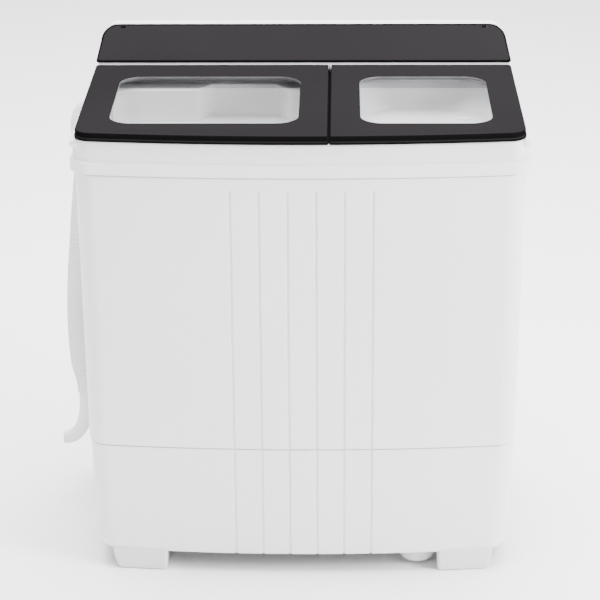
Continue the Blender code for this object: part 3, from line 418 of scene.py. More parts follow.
def bowed(half_width, front, rear, front_radius, rear_radius, groove=0.0):
    """Plan of a shell: straight sides and rear, bowed front with six soft grooves, round corners."""
    tangent_x = half_width - front_radius
    for _ in range(4):
        turn = atan(2 * FRONT_BOW * tangent_x / half_width**2)
        tangent_x = half_width - front_radius * (1 - sin(turn))
    xs = [(0.0, 0.0)]
    for i in range(3):
        middle = GROOVE_PITCH * (i + 0.5)
        for offset, share in ((-1.25, 0), (-1.05, 0.06), (-0.9, 0.25), (-0.75, 0.6), (-0.6, 0.9), (-0.42, 1),
                              (0, 1),
                              (0.42, 1), (0.6, 0.9), (0.75, 0.6), (0.9, 0.25), (1.05, 0.06), (1.25, 0)):
            xs.append((middle + offset * GROOVE_HALF_WIDTH, share * groove))
    last = xs[-1][0]
    xs += [(last + (tangent_x - last) * i / 12, 0.0) for i in range(1, 12)]
    right = [(x, front + FRONT_BOW * (x / half_width) ** 2 + depth) for x, depth in xs]
    centre_y = front + FRONT_BOW * (tangent_x / half_width) ** 2 + front_radius * cos(turn)
    right += arc(half_width - front_radius, centre_y, front_radius, -90 + turn * 180 / pi, 0, 12)
    right += [(half_width, centre_y + (rear - rear_radius - centre_y) * i / 6) for i in range(1, 6)]
    right += arc(half_width - rear_radius, rear - rear_radius, rear_radius, 0, 90, 10)
    right += [((half_width - rear_radius) * (1 - i / 6), rear) for i in range(1, 6)]
    left = [(-x, y) for x, y in reversed(right[1:])]
    # The grooves stand a little right of the middle; the sides stay where they are.
    return [(x + GROOVE_SHIFT * (1 - (x / half_width) ** 2), y) for x, y in right + left]


def level(z, sizes, inset=0.0, groove=0.0):
    """Ring of a bowed shell at height z. sizes is (half-width, front, rear, front radius, rear radius)."""
    half_width, front, rear, front_radius, rear_radius = sizes
    return at_height(bowed(half_width - inset, front + inset, rear - inset, front_radius - inset,
                           rear_radius - inset, groove), z)


def mixed(a, b, share):
    return tuple(p + (q - p) * share for p, q in zip(a, b))


# Casing

BOW_HALF_WIDTH = 0.345
BASE_LOW = (0.3445, -0.213, 0.218, 0.035, 0.03)
BASE_HIGH = (0.347, -0.2175, 0.219, 0.035, 0.03)
# Bottom edge of the base: tight in front, round at the sides and the rear
BASE_FOOT = [(0.052, (0.3434, -0.2129, 0.2172, 0.035, 0.03)), (0.048, (0.3421, -0.2128, 0.2164, 0.035, 0.03)),
             (0.045, (0.3405, -0.2126, 0.2153, 0.035, 0.03)),
             (0.0418, (0.3378, -0.2123, 0.213, 0.035, 0.029)),
             (0.039, (0.3342, -0.2116, 0.209, 0.034, 0.028)),
             (0.0374, (0.3302, -0.2104, 0.205, 0.032, 0.027)),
             (0.0363, (0.324, -0.21, 0.198, 0.03, 0.026))]
CABINET_LOW = (0.349, -0.219, 0.2205, 0.035, 0.03)
CABINET_HIGH = (0.352, -0.2225, 0.222, 0.035, 0.03)
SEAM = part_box("base_shell")[1].z
BASE_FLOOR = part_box("base_shell")[0].z
CABINET_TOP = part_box("cabinet_shell")[1].z
DECK_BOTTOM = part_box("top_deck")[0].z
DECK_TOP = 0.7563
WELL_FLOOR = 0.709
SPIN_X, SPIN_Y = 0.195, -0.06
ELBOW_Y = 0.1025


def make_base():
    low, high, depth = BASE_LOW, BASE_HIGH, GROOVE_DEPTH
    rings = [level(SEAM - 0.06, mixed(low, high, 0.7), 0.0048), level(SEAM - 0.0008, high, 0.0048),
             level(SEAM, high, 0.0042), level(SEAM, high, 0.0034), level(SEAM - 0.0014, high, 0.0031),
             level(SEAM - 0.0016, high, 0.001, depth * 0.8), level(SEAM - 0.0022, high, 0.0002, depth),
             level(SEAM - 0.0032, high, 0.0, depth),
             level((SEAM + BASE_FLOOR) / 2, mixed(low, high, 0.5), 0.0, depth),
             level(0.058, low, 0.0, depth)]
    rings += [level(z, sizes, 0.0, depth) for z, sizes in BASE_FOOT]
    base = stack("base_casing", rings[::-1])
    foot_low, foot_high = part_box("levelling_foot")
    x, y = (foot_low.x + foot_high.x) / 2, (foot_low.y + foot_high.y) / 2
    stem_hole = rod(0.0063, (x, y, 0.02), (x, y, 0.055), 24)
    vents = [block((x - 0.0022, -0.024, 0.02), (x + 0.0022, 0.024, 0.05), 0.002)
             for x in [0.12 + 0.012 * i for i in range(12)]]
    hollow = solid([level(0.0413, (0.33, -0.199, 0.203, 0.03, 0.026)), level(0.06, low, 0.0045),
                    level(SEAM - 0.058, mixed(low, high, 0.7), 0.004)])
    apply_booleans(base, [hollow, stem_hole, *vents])
    dress(base, "white_plastic", "root", "base_shell")
    # Painted shade: the unseen underside is painted grey, darker than the shell, so the floor beneath the
    # base gets less bounce light and reads in deeper shade.
    paint(base, "grey_plastic", lambda face: face.normal.z < -0.9 and face.center.z < SEAM / 2)


def make_cabinet():
    low, high, depth = CABINET_LOW, CABINET_HIGH, GROOVE_DEPTH
    bottom, span_z = SEAM + 0.0003, CABINET_TOP - SEAM
    rings = [level(bottom + 0.0008, low, 0.0042), level(bottom, low, 0.0036),
             level(bottom, low, 0.001, depth * 0.7),
             level(bottom + 0.001, low, 0.0002, depth), level(bottom + 0.0022, low, 0.0, depth)]
    for share in (0.25, 0.5, 0.75):
        rings.append(level(bottom + span_z * share, mixed(low, high, share), 0.0, depth))
    for fall, rise in ((1.0, 0.007), (0.85, 0.0045), (0.5, 0.0025), (0.15, 0.001), (0.0, 0.0)):
        z = GROOVE_TOP - rise
        rings.append(level(z, mixed(low, high, (z - SEAM) / span_z), 0.0, depth * fall))
    rings += [level(CABINET_TOP - 0.0026, high), level(CABINET_TOP - 0.0019, high, 0.0006),
              level(CABINET_TOP - 0.0017, high, 0.0026), level(CABINET_TOP, high, 0.0028),
              level(CABINET_TOP, high, 0.0042)]
    cabinet = stack("cabinet_casing", rings, closed=True)
    opening = block((-0.26, 0.2, 0.28), (0.26, 0.24, 0.64), 0.012)
    apply_booleans(cabinet, [opening])
    dress(cabinet, "white_plastic", "root", "cabinet_shell")


def make_rear_cover():
    low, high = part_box("rear_cover")
    cover = rounded_box("rear_service_cover", (low.x, low.y, low.z), (high.x, high.y, high.z), 0.0012)
    slots = [block((x - 0.002, low.y - 0.01, 0.31), (x + 0.002, high.y + 0.01, 0.37), 0.0018)
             for x in [-0.2 + 0.014 * i for i in range(9)] + [0.09 + 0.014 * i for i in range(9)]]
    ribs = [block((-0.22, high.y - 0.0005, z - 0.004), (0.22, high.y + 0.0006, z + 0.004), 0.0005)
            for z in (0.43, 0.5, 0.57)]
    apply_booleans(cover, slots, ribs)
    dress(cover, "white_plastic", "root", "rear_cover")
    for i, (x, z) in enumerate([(sx * 0.265, sz) for sx in (-1, 1)
                                for sz in (0.275, 0.46, 0.645)] + [(0, 0.645), (0, 0.275)]):
        make_screw(f"rear_cover_screw_{i + 1}", (x, high.y, z), (0, 1, 0))


def make_screw(name, place, axis, radius=0.0036, body="root"):
    """Pan-head screw with a cross recess; place is on the face that it holds down."""
    turn = Vector(axis).to_track_quat("Z", "Y").to_matrix().to_4x4()
    head = turned(name, [(0.0, 0.0016), (radius * 0.45, 0.0015), (radius * 0.8, 0.001), (radius, 0.0004),
                         (radius, 0.0), (0.0, 0.0)], (0, 0, 0), 20)
    arms = [block((-0.0019, -0.00035, 0.0007), (0.0019, 0.00035, 0.003), 0.0002, 1),
            block((-0.00035, -0.0019, 0.0007), (0.00035, 0.0019, 0.003), 0.0002, 1)]
    apply_booleans(head, arms)
    head.data.transform(moved(Vector(place)) @ turn)
    dress(head, "bright_steel", body)


# Block foot: height, then how far its inner side, outer side and ends stand in from their widest
FOOT_SHAPE = [(0.0, 0.0058, 0.015, 0.007), (0.0004, 0.004, 0.012, 0.0054), (0.0014, 0.0022, 0.0098, 0.004),
              (0.003, 0.0011, 0.0082, 0.003), (0.0055, 0.0006, 0.007, 0.0024),
              (0.012, 0.0003, 0.0044, 0.0016),
              (0.022, 0.0001, 0.002, 0.0008), (0.036, 0.0, 0.0, 0.0), (0.04, 0.0, 0.0015, 0.0)]


def make_feet():
    for place in ("front_left", "front_right", "rear_left", "rear_right"):
        node = f"foot_{place}"
        low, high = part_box(node)
        side = 1 if low.x > 0 else -1
        inner, outer = sorted((abs(low.x), abs(high.x)))
        rings = []
        for z, left, right, slope in FOOT_SHAPE:
            outline = rounded(inner + left, outer - right, low.y + slope, high.y - slope, 0.006)
            if low.y < 0:
                # The face follows the bow of the base.
                middle = (low.y + high.y) / 2
                outline = [(x, y + FRONT_BOW * (x**2 - inner**2) / BOW_HALF_WIDTH**2 if y < middle else y)
                           for x, y in outline]
            outline = [(side * x, y) for x, y in outline]
            rings.append(at_height(outline if side > 0 else outline[::-1], z))
        foot = stack(f"foot_block_{place}", rings)
        dress(foot, "white_plastic", "root", node, material=MATERIALS["foot_plastic"])
    low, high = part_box("levelling_foot")
    centre = ((low.x + high.x) / 2, (low.y + high.y) / 2, 0)
    profile = [(0.0, high.z), (0.0058, high.z), (0.0058, 0.0345), (0.028, 0.033), (0.0295, 0.032),
               (0.03, 0.03)]
    profile += [(0.03, 0.016), (0.0297, 0.0133), (0.0286, 0.0105), (0.0265, 0.0075), (0.022, 0.0048),
                (0.015, 0.0027), (0.007, 0.0018), (0.0, low.z)]
    foot = turned("levelling_foot_pad", profile, centre)
    rim = [(centre[0] + 0.031 * cos(2 * pi * i / 20), centre[1] + 0.031 * sin(2 * pi * i / 20))
           for i in range(20)]
    notches = [rod(0.0022, (x, y, 0.012), (x, y, 0.04), 12) for x, y in rim]
    apply_booleans(foot, notches)
    dress(foot, "white_plastic", "levelling_foot", "levelling_foot", material=MATERIALS["foot_plastic"])


# Deck

FLANGE = (0.36, -0.2245, 0.2275, 0.036, 0.03)
COLLAR = (0.3555, -0.22, 0.2265, 0.033, 0.029)


def softened(corners, radius):
    """Outline through the corners, each rounded off."""
    points = []
    for before, here, after in zip(corners[-1:] + corners[:-1], corners, corners[1:] + corners[:1]):
        here = Vector(here)
        start = here + (Vector(before) - here).normalized() * radius
        end = here + (Vector(after) - here).normalized() * radius
        points += [tuple(start.lerp(here, t).lerp(here.lerp(end, t), t)) for t in (0, 0.25, 0.5, 0.75, 1)]
    return points


def well_ring(share, wall, radius, z):
    """Plan of the spin well: share runs from 0 at its floor to 1 at its mouth."""
    def between(floor, mouth):
        return floor + (mouth - floor) * share

    rear_half, side_half = between(0.05, 0.071) + wall / 2, between(0.105, 0.123) + wall
    front, front_half = between(-0.16, -0.168) - wall, between(0.085, 0.093) + wall / 2
    rear_side, rear = between(0.07, 0.088) + wall / 2, between(0.108, 0.13) + wall
    right = [(front_half, front), (side_half, front + side_half - front_half), (side_half, rear_side),
             (rear_half, rear)]
    corners = [(SPIN_X + x, y) for x, y in right] + [(SPIN_X - x, y) for x, y in reversed(right)]
    return at_height(softened(corners, radius), z)


def well_pocket():
    """Cutter for the well: filleted floor, sloped walls and a rounded mouth."""
    depth, fillet, rim = DECK_TOP - WELL_FLOOR, 0.0035, 0.003
    rings = [well_ring(0, -fillet * (1 - sin(a)), 0.006, WELL_FLOOR + fillet * (1 - cos(a)))
             for a in [radians(30 * i) for i in range(4)]]
    rings += [well_ring(t, 0.0, 0.006 + 0.003 * t, WELL_FLOOR + depth * t) for t in (0.25, 0.5, 0.75, 0.93)]
    rings += [well_ring(1, rim * (1 - cos(a)), 0.009, DECK_TOP - rim + rim * sin(a)) for a in
              [radians(30 * i) for i in range(4)]]
    return solid(rings + [well_ring(1, rim, 0.009, DECK_TOP + 0.03)])


def opening_tool(outline, floor_z, rim):
    """Cutter for a hole down to floor_z, whose mouth is rounded by rim."""
    centre = sum((Vector(p) for p in outline), Vector((0, 0))) / len(outline)
    half = max(abs(p[0] - centre.x) for p in outline), max(abs(p[1] - centre.y) for p in outline)

    def grown(amount):
        return [(centre.x + (x - centre.x) * (1 + amount / half[0]),
                 centre.y + (y - centre.y) * (1 + amount / half[1])) for x, y in outline]

    rings = [at_height(grown(0.0), floor_z)]
    rings += [at_height(grown(rim * (1 - cos(a))), DECK_TOP - rim + rim * sin(a)) for a in
              [radians(90 * i / 4) for i in range(5)]]
    rings += [at_height(grown(rim), DECK_TOP + 0.03)]
    return solid(rings)


def make_deck():
    rings = [level(DECK_BOTTOM, FLANGE, 0.0012), level(DECK_BOTTOM + 0.0004, FLANGE, 0.0003),
             level(DECK_BOTTOM + 0.0014, FLANGE), level(0.7195, FLANGE), level(0.7207, FLANGE, 0.0003),
             level(0.7217, FLANGE, 0.0011), level(0.7223, FLANGE, 0.0022), level(0.7225, COLLAR, -0.001),
             level(0.7229, COLLAR, -0.0006), level(0.7238, COLLAR), level(DECK_TOP - 0.003, COLLAR),
             level(DECK_TOP - 0.0014, COLLAR, 0.0004), level(DECK_TOP - 0.0004, COLLAR, 0.0014),
             level(DECK_TOP, COLLAR, 0.003)]
    deck = stack("deck", rings)
    inner = (0.351, -0.2155, 0.222, 0.029, 0.025)
    hollow = solid([level(0.69, inner), level(0.752, inner)])
    apply_booleans(deck, [hollow])
    joiners = [solid([well_ring(0, 0.004, 0.008, 0.7049), well_ring(1, 0.004, 0.01, 0.7545)])]
    cutters = [well_pocket(),
               opening_tool(rounded(-0.325, 0.033, -0.193, 0.133, 0.05, 14), 0.74, 0.003),
               block((-0.31, 0.172, 0.74), (0.31, 0.214, 0.78), 0.004),
               rod(0.0142, (-0.37, ELBOW_Y, 0.7185), (-0.34, ELBOW_Y, 0.7185), 40),
               rod(0.0036, (0.335, 0.1, 0.74), (0.335, 0.1, 0.77), 24)]
    for side in (-1, 1):
        pocket = sorted((side * 0.3345, side * 0.353))
        joiners.append(block((pocket[0], -0.186, 0.7205), (pocket[1], -0.064, 0.754), 0.002))
        rim = sorted((side * 0.344, side * 0.3575))
        joiners.append(block((rim[0], -0.196, 0.7435), (rim[1], -0.054, 0.756), 0.0045, 5))
        recess = sorted((side * 0.3385, side * 0.375))
        cutters.append(block((recess[0], -0.18, 0.725), (recess[1], -0.07, 0.7432), 0.005, 4))
    apply_booleans(deck, cutters, joiners)
    hole = turned("tool", [(0.094, 0.715), (0.0925, WELL_FLOOR + 0.0002), (0.0908, WELL_FLOOR - 0.0008),
                           (0.09, 0.707),
                           (0.09, 0.69), (0.0, 0.69), (0.0, 0.715)][::-1], (SPIN_X, SPIN_Y, 0))
    lugs = []
    for x in (-0.32, 0.015, 0.075, 0.32):
        lugs += [rod(0.0032, (x - 0.008, 0.15, 0.766), (x + 0.008, 0.15, 0.766), 24),
                 block((x - 0.008, 0.147, 0.754), (x + 0.008, 0.153, 0.766), 0.0004, 1)]
    apply_booleans(deck, [hole], lugs)
    dress(deck, "white_plastic", "root", "top_deck")
    low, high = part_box("well_cap")
    middle = (low + high) / 2
    cap = turned("well_screw_cap", [(0.0, 0.0034), (0.0046, 0.0033), (0.0063, 0.0027), (0.0076, 0.0015),
                                    (0.0078, 0.0),
                                    (0.0, 0.0)], (middle.x, middle.y, low.z), 32)
    slot = block((middle.x - 0.004, middle.y - 0.0006, low.z + 0.0024),
                       (middle.x + 0.004, middle.y + 0.0006, low.z + 0.006), 0.0003, 1)
    apply_booleans(cap, [slot])
    dress(cap, "white_plastic", "root", "well_cap")


# Lids

LID_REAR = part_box("wash_lid_frame")[1].y
LID_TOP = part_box("wash_lid_frame")[1].z
LID_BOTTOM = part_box("wash_lid_frame")[0].z
LID_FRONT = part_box("wash_lid_frame")[0].y
LID_HALF_WIDTH = 0.35
LID_CORNER = 0.028
LID_SPLIT = {"wash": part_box("wash_lid_frame")[1].x, "spin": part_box("spin_lid_frame")[0].x}
WINDOWS = {"wash": (-0.3, -0.003), "spin": (0.094, 0.301)}
WINDOW_FRONT, WINDOW_REAR, WINDOW_CORNER = -0.162, 0.084, 0.036
HINGE_POSTS = {"wash": (-0.32, 0.015), "spin": (0.075, 0.32)}
HINGE_Y, HINGE_Z = 0.15, 0.766


def lid_front(x):
    return LID_FRONT + FRONT_BOW * (x / LID_HALF_WIDTH) ** 2


def lid_outline(name, inset=0.0):
    side = 1 if name == "spin" else -1
    outer, inner = LID_HALF_WIDTH - inset, side * LID_SPLIT[name] + inset
    radius = max(0.004, LID_CORNER - inset)
    turn = atan(2 * FRONT_BOW * (outer - radius) / LID_HALF_WIDTH**2)
    tangent_x = outer - radius * (1 - sin(turn))
    centre_y = lid_front(tangent_x) + inset + radius * cos(turn)
    first = inner + 0.0015
    points = [(inner, lid_front(inner) + inset + 0.0015), (inner + 0.0004, lid_front(inner) + inset + 0.0004)]
    points += [(first + (tangent_x - first) * i / 20, 0) for i in range(20)]
    points = points[:2] + [(x, lid_front(x) + inset) for x, _ in points[2:]]
    points += arc(outer - radius, centre_y, radius, -90 + turn * 180 / pi, 0, 14)
    rear = LID_REAR - inset
    points += arc(outer - 0.006, rear - 0.006, 0.006, 0, 90, 5)
    points += [(inner + 0.0015, rear), (inner + 0.0004, rear - 0.0004), (inner, rear - 0.0015)]
    points = [(side * x, y) for x, y in points]
    return points if side > 0 else points[::-1]


def window_outline(name, grow=0.0):
    left, right = WINDOWS[name]
    return rounded(left - grow, right + grow, WINDOW_FRONT - grow, WINDOW_REAR + grow, WINDOW_CORNER + grow,
                   12)


def make_lid(name):
    body = name + "_lid"
    seam = LID_BOTTOM + 0.0058
    rings = [(LID_BOTTOM, 0.0024), (LID_BOTTOM + 0.0006, 0.0008), (LID_BOTTOM + 0.0014, 0.0001),
             (LID_BOTTOM + 0.002, 0.0), (seam - 0.001, 0.0), (seam - 0.0003, 0.0003), (seam, 0.0008),
             (seam + 0.0002, 0.0015), (seam + 0.0007, 0.0017), (seam + 0.0014, 0.0015),
             (LID_TOP - 0.0016, 0.001),
             (LID_TOP - 0.0008, 0.0012), (LID_TOP - 0.0002, 0.0018), (LID_TOP, 0.0026)]
    lid = stack(f"{name}_lid_cover", [at_height(lid_outline(name, inset), z) for z, inset in rings])
    mouth = solid([at_height(window_outline(name, grow), z) for z, grow in (
        (0.75, 0.0), (LID_TOP - 0.0003, 0.0), (LID_TOP, 0.0003), (LID_TOP + 0.01, 0.0103))])
    seat = solid([at_height(window_outline(name, 0.0063), z) for z in (0.75, 0.769)])
    relief_outer = [(x, min(y, 0.138)) for x, y in lid_outline(name, 0.01)]
    relief = solid([at_height(relief_outer, z) for z in (0.75, 0.7645)])
    rooms = [block((x - 0.0095, HINGE_Y - 0.0055, 0.74), (x + 0.0095, LID_REAR + 0.01, HINGE_Z + 0.0042),
                         0.0008, 1) for x in HINGE_POSTS[name]]
    bore = rod(0.0022, (lid.bound_box[0][0] + 0.004, HINGE_Y, HINGE_Z),
                (lid.bound_box[6][0] - 0.004, HINGE_Y, HINGE_Z), 20)
    apply_booleans(lid, [mouth, seat, relief, *rooms, bore])
    dress(lid, "dark_plastic", body, f"{name}_lid_frame")
    left, right = WINDOWS[name]

    def inside(face):
        """Faces of the underside and of the window's mouth. They get a mid grey that is partly a guessed
        underside colour and partly painted light, brightening the band in shade under the rear frame.
        """
        x, y, z = face.center
        near_window = left - 0.01 < x < right + 0.01 and WINDOW_FRONT - 0.01 < y < WINDOW_REAR + 0.01
        return z < LID_TOP - 0.0002 and (face.normal.z < -0.5 or near_window)

    # Painted shade: the lid's side faces get the darker copy of its plastic.
    paint(lid, "dark_rim_painted_shade", lambda face: abs(face.normal.z) < 0.8 and face.center.z < LID_TOP - 0.0003)
    # Painted highlight: a thin lighter band along the step round the lid's sides.
    paint(lid, "lid_seam_painted_highlight", lambda face: (seam - 0.0011 < face.center.z < seam + 0.0005
                                         and abs(face.center.x - LID_SPLIT[name]) > 0.002))
    paint(lid, "lid_liner_painted_light", inside)

    glass = stack(f"{name}_lid_pane", [at_height(window_outline(name, grow), z) for z, grow in (
        (0.7655, 0.0056), (0.7658, 0.006), (0.7684, 0.006), (0.7687, 0.0056), (0.76875, -0.0003),
        (LID_TOP - 0.0005, -0.0003), (LID_TOP - 0.0003, -0.0005))])
    dress(glass, "clear_plastic", body, f"{name}_lid_window")


def make_gap_shade_strip():
    """Dark strip on the deck under the gap between the lids: painted shade, so the gap reads dark instead of
    showing the white deck.
    """
    middle = sum(LID_SPLIT.values()) / 2
    strip = rounded_box("lid_gap_painted_shade_strip", (middle - 0.003, LID_FRONT + 0.012, DECK_TOP - 0.0003),
                        (middle + 0.003, LID_REAR + 0.001, LID_BOTTOM - 0.0003), 0.0002, 1)
    tab = block((middle - 0.0009, LID_REAR - 0.002, DECK_TOP - 0.0003),
                      (middle + 0.0009, SLOPE_FOOT.y - 0.0006, LID_TOP - 0.002), 0.0001, 1)
    apply_booleans(strip, [], [tab])
    dress(strip, "dark_plastic", "root")


# Console

SLOPE_FOOT = Vector((0.0, 0.1585, 0.775))
SLOPE_LEAN = radians(39.2)
SLOPE_LENGTH = 0.07
BEAD = 0.0032
FLAP_AXIS_UP, FLAP_AXIS_OUT = SLOPE_LENGTH - BEAD, -BEAD
EAR_X = 0.306
PLATE_DEPTH = 0.0178
KNOB_X = {"wash_timer": -0.2, "drain_selector": 0.0, "spin_timer": 0.2}
KNOB_UP = 0.031
SLOPE = moved(SLOPE_FOOT) @ Matrix.Rotation(pi / 2 - SLOPE_LEAN, 4, "X")


def along_axis(radius, start, end, sides, place=SLOPE):
    """Rod along the flap's hinge axis from one x to another."""
    return rod(radius, place @ Vector((start, FLAP_AXIS_UP, FLAP_AXIS_OUT)),
               place @ Vector((end, FLAP_AXIS_UP, FLAP_AXIS_OUT)), sides)


def cover_outline(inset=0.0):
    low, high, radius = 0.35 - inset, 0.3425 - inset, 0.03 - inset
    top = SLOPE_LENGTH - inset
    right = [(low - 0.003, inset), (low - 0.0008, inset + 0.0008), (low, inset + 0.003)]
    right += arc(high - radius, top - radius, radius, 6, 90, 16)
    right += [((high - radius) * (1 - i / 8), top) for i in range(1, 8)]
    return right + [(-x, y) for x, y in reversed(right)]


def make_cover():
    thick = 0.005
    rings = [(-thick, 0.0016), (-thick + 0.0005, 0.0006), (-thick + 0.0014, 0.0002), (-0.0016, 0.0),
             (-0.0008, 0.0003),
             (-0.0002, 0.0009), (0.0, 0.0018), (0.0, 0.0034)]
    cover = stack("control_flap", [at_height(cover_outline(inset), z) for z, inset in rings])
    cover.data.transform(SLOPE)
    bead, bore = along_axis(BEAD, -0.312, 0.312, 24), along_axis(0.0018, -0.311, 0.311, 20)
    notches = [block((x - 0.0043, FLAP_AXIS_UP - 0.0046, -0.02), (x + 0.0043, 0.08, 0.01), 0.0001, 1, SLOPE)
               for x in (-EAR_X, EAR_X)]
    apply_booleans(cover, [bore, *notches], [bead])
    # Painted light: the flap wears the lighter copy of the dark plastic.
    dress(cover, "dark_plastic", "control_cover", "control_cover", material=MATERIALS["dark_flap_painted_light"])
    # Painted shade: the flap's edges get the darker copy, standing in for the shaded line round the flap.
    paint(cover, "dark_rim_painted_shade", lambda face: len(face.vertices) < 10)


def make_housing():
    upright = Matrix.Rotation(pi / 2, 4, "X")
    low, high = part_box("console_housing")
    half, top, foot = 0.349, high.z, low.z
    radius, narrow = 0.029, 0.3415

    def outline(inset):
        right = [(half - inset - 0.002, foot + inset), (half - inset, foot + inset + 0.002)]
        right += arc(narrow - radius, top - radius, radius - inset, 6, 90, 16)
        return right + [(-x, y) for x, y in reversed(right)]

    rings = [(-high.y, 0.0022), (-high.y + 0.0004, 0.001), (-high.y + 0.0018, 0.0), (-low.y - 0.0016, 0.0),
             (-low.y - 0.0004, 0.0006), (-low.y, 0.0016)]
    housing = stack("console_body", [at_height(outline(inset), z) for z, inset in rings])
    housing.data.transform(upright)
    depth = PLATE_DEPTH
    cutters = [block((-0.4, -0.05, -0.0055), (0.4, 0.12, 0.06), 0.0001, 1, SLOPE),
               block((-0.325, 0.008, -depth - 0.0023), (0.325, 0.058, 0.01), 0.003, 3, SLOPE),
               block((-0.335, 0.178, 0.74), (0.335, 0.2215, 0.792), 0.002),
               along_axis(0.005, -0.36, 0.36, 32),
               rod(0.011, (-0.25, 0.21, 0.775), (-0.25, 0.235, 0.775), 32)]
    for x in KNOB_X.values():
        cutters.append(block((x - 0.025, 0.013, -depth - 0.0196), (x + 0.025, 0.045, -depth - 0.0016),
                                   0.0005, 1, SLOPE))
    apply_booleans(housing, cutters)
    dress(housing, "white_plastic", "root", "console_housing")
    for side, x in (("left", -EAR_X), ("right", EAR_X)):
        place = SLOPE @ moved((x, 0, 0))
        ear = rounded_box(f"{side}_flap_ear", (-0.004, FLAP_AXIS_UP - 0.0028, -0.0082),
                          (0.004, FLAP_AXIS_UP + 0.003, -0.0002),
                          0.0005, 2, place)
        # Below the pin the ear is rounded to follow the flap as it turns.
        waste = block((-0.005, FLAP_AXIS_UP - 0.004, FLAP_AXIS_OUT - 0.0005), (0.005, FLAP_AXIS_UP, 0.001),
                      0.00005, 1, place)
        lug, hole = along_axis(0.003, -0.004, 0.004, 28, place), along_axis(0.0017, -0.005, 0.005, 20, place)
        apply_booleans(ear, [waste])
        apply_booleans(ear, [hole], [lug])
        dress(ear, "dark_plastic", "root")
    for i, x in enumerate((-0.31, -0.1, 0.1, 0.31)):
        make_screw(f"console_screw_{i + 1}", (x, high.y - 0.0008, 0.79), (0, 1, 0))


# Controls under the flap

def make_controls():
    depth = PLATE_DEPTH
    low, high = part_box("control_plate")
    outline = rounded(low.x, high.x, 0.0085, 0.0575, 0.004, 6)
    rings = [at_height(outline, -depth - 0.002), at_height(outline, -depth - 0.0003),
             at_height(rounded(low.x + 0.0003, high.x - 0.0003, 0.0088, 0.0572, 0.0037, 6), -depth)]
    panel = stack("control_fascia", rings)
    holes = [rod(0.0042, (x, KNOB_UP, -0.03), (x, KNOB_UP, 0.0), 24) for x in KNOB_X.values()]
    apply_booleans(panel, holes)
    panel.data.transform(SLOPE)
    dress(panel, "grey_plastic", "root", "control_plate")
    scales = {"wash_timer": (("0", "3", "6", "9", "12", "15"), 300), "drain_selector": (("1", "2"), 90),
              "spin_timer": (("0", "1", "2", "3", "4", "5"), 300)}
    for name, (marks, sweep) in scales.items():
        make_knob(name)
        make_dial(name, marks, sweep)


def make_knob(name):
    profile = [(0.0, 0.009), (0.0098, 0.009), (0.0106, 0.0096), (0.0116, 0.0098), (0.0132, 0.0094),
               (0.0141, 0.0084),
               (0.0145, 0.004), (0.0147, 0.0018), (0.016, 0.0012), (0.017, 0.0004), (0.017, 0.0),
               (0.0037, 0.0),
               (0.0037, -0.012), (0.0, -0.012)]
    knob = turned(f"{name}_dial_knob", profile, (0, 0, 0), 60)
    bar = block((-0.0026, -0.0134, 0.007), (0.0026, 0.0134, 0.0117), 0.0011, 3)
    flutes = [rod(0.0011, (0.0152 * cos(a), 0.0152 * sin(a), 0.002),
                  (0.0152 * cos(a), 0.0152 * sin(a), 0.012), 10)
              for a in [2 * pi * i / 30 for i in range(30)]]
    apply_booleans(knob, flutes, [bar])
    place = SLOPE @ moved((KNOB_X[name], KNOB_UP, -PLATE_DEPTH + 0.0006))
    knob.data.transform(place)
    dress(knob, "white_plastic", f"{name}_knob", f"{name}_knob")
    pointer = rounded_box(f"{name}_pointer", (-0.0007, 0.006, 0.01165), (0.0007, 0.0128, 0.0119), 0.0001, 1,
                          place)
    dress(pointer, "dark_plastic", f"{name}_knob")


def make_dial(name, marks, sweep):
    """Raised ticks and plain numbers round a knob."""
    place = SLOPE @ moved((KNOB_X[name], KNOB_UP, -PLATE_DEPTH))
    for i, mark in enumerate(marks):
        angle = pi / 2 - radians(sweep) * i / (len(marks) - 1)
        turn = Matrix.Rotation(angle, 4, "Z")
        tick = rounded_box(f"{name}_tick_{i + 1}", (0.018, -0.00035, -0.0001),
                           (0.02, 0.00035, 0.0002), 0.0001, 1, place @ turn)
        dress(tick, "white_plastic", "root")
        text = bpy.data.curves.new(f"{name}_number_{i + 1}", "FONT")
        text.body, text.size, text.extrude = mark, 0.004, 0.0001
        text.align_x, text.align_y = "CENTER", "CENTER"
        label = bpy.data.objects.new(f"{name}_number_{i + 1}", text)
        bpy.context.scene.collection.objects.link(label)
        label.matrix_world = place @ moved((0.0228 * cos(angle), 0.0228 * sin(angle), 0.0001))
        dress(label, "white_plastic", "root")


# Tubs

def tub_ring(inset, z, wall=0.0):
    grow = wall - inset
    return at_height(rounded(-0.322 - grow, 0.03 + grow, -0.19 - grow, 0.13 + grow, 0.05 + wall - inset / 2,
                             14), z)


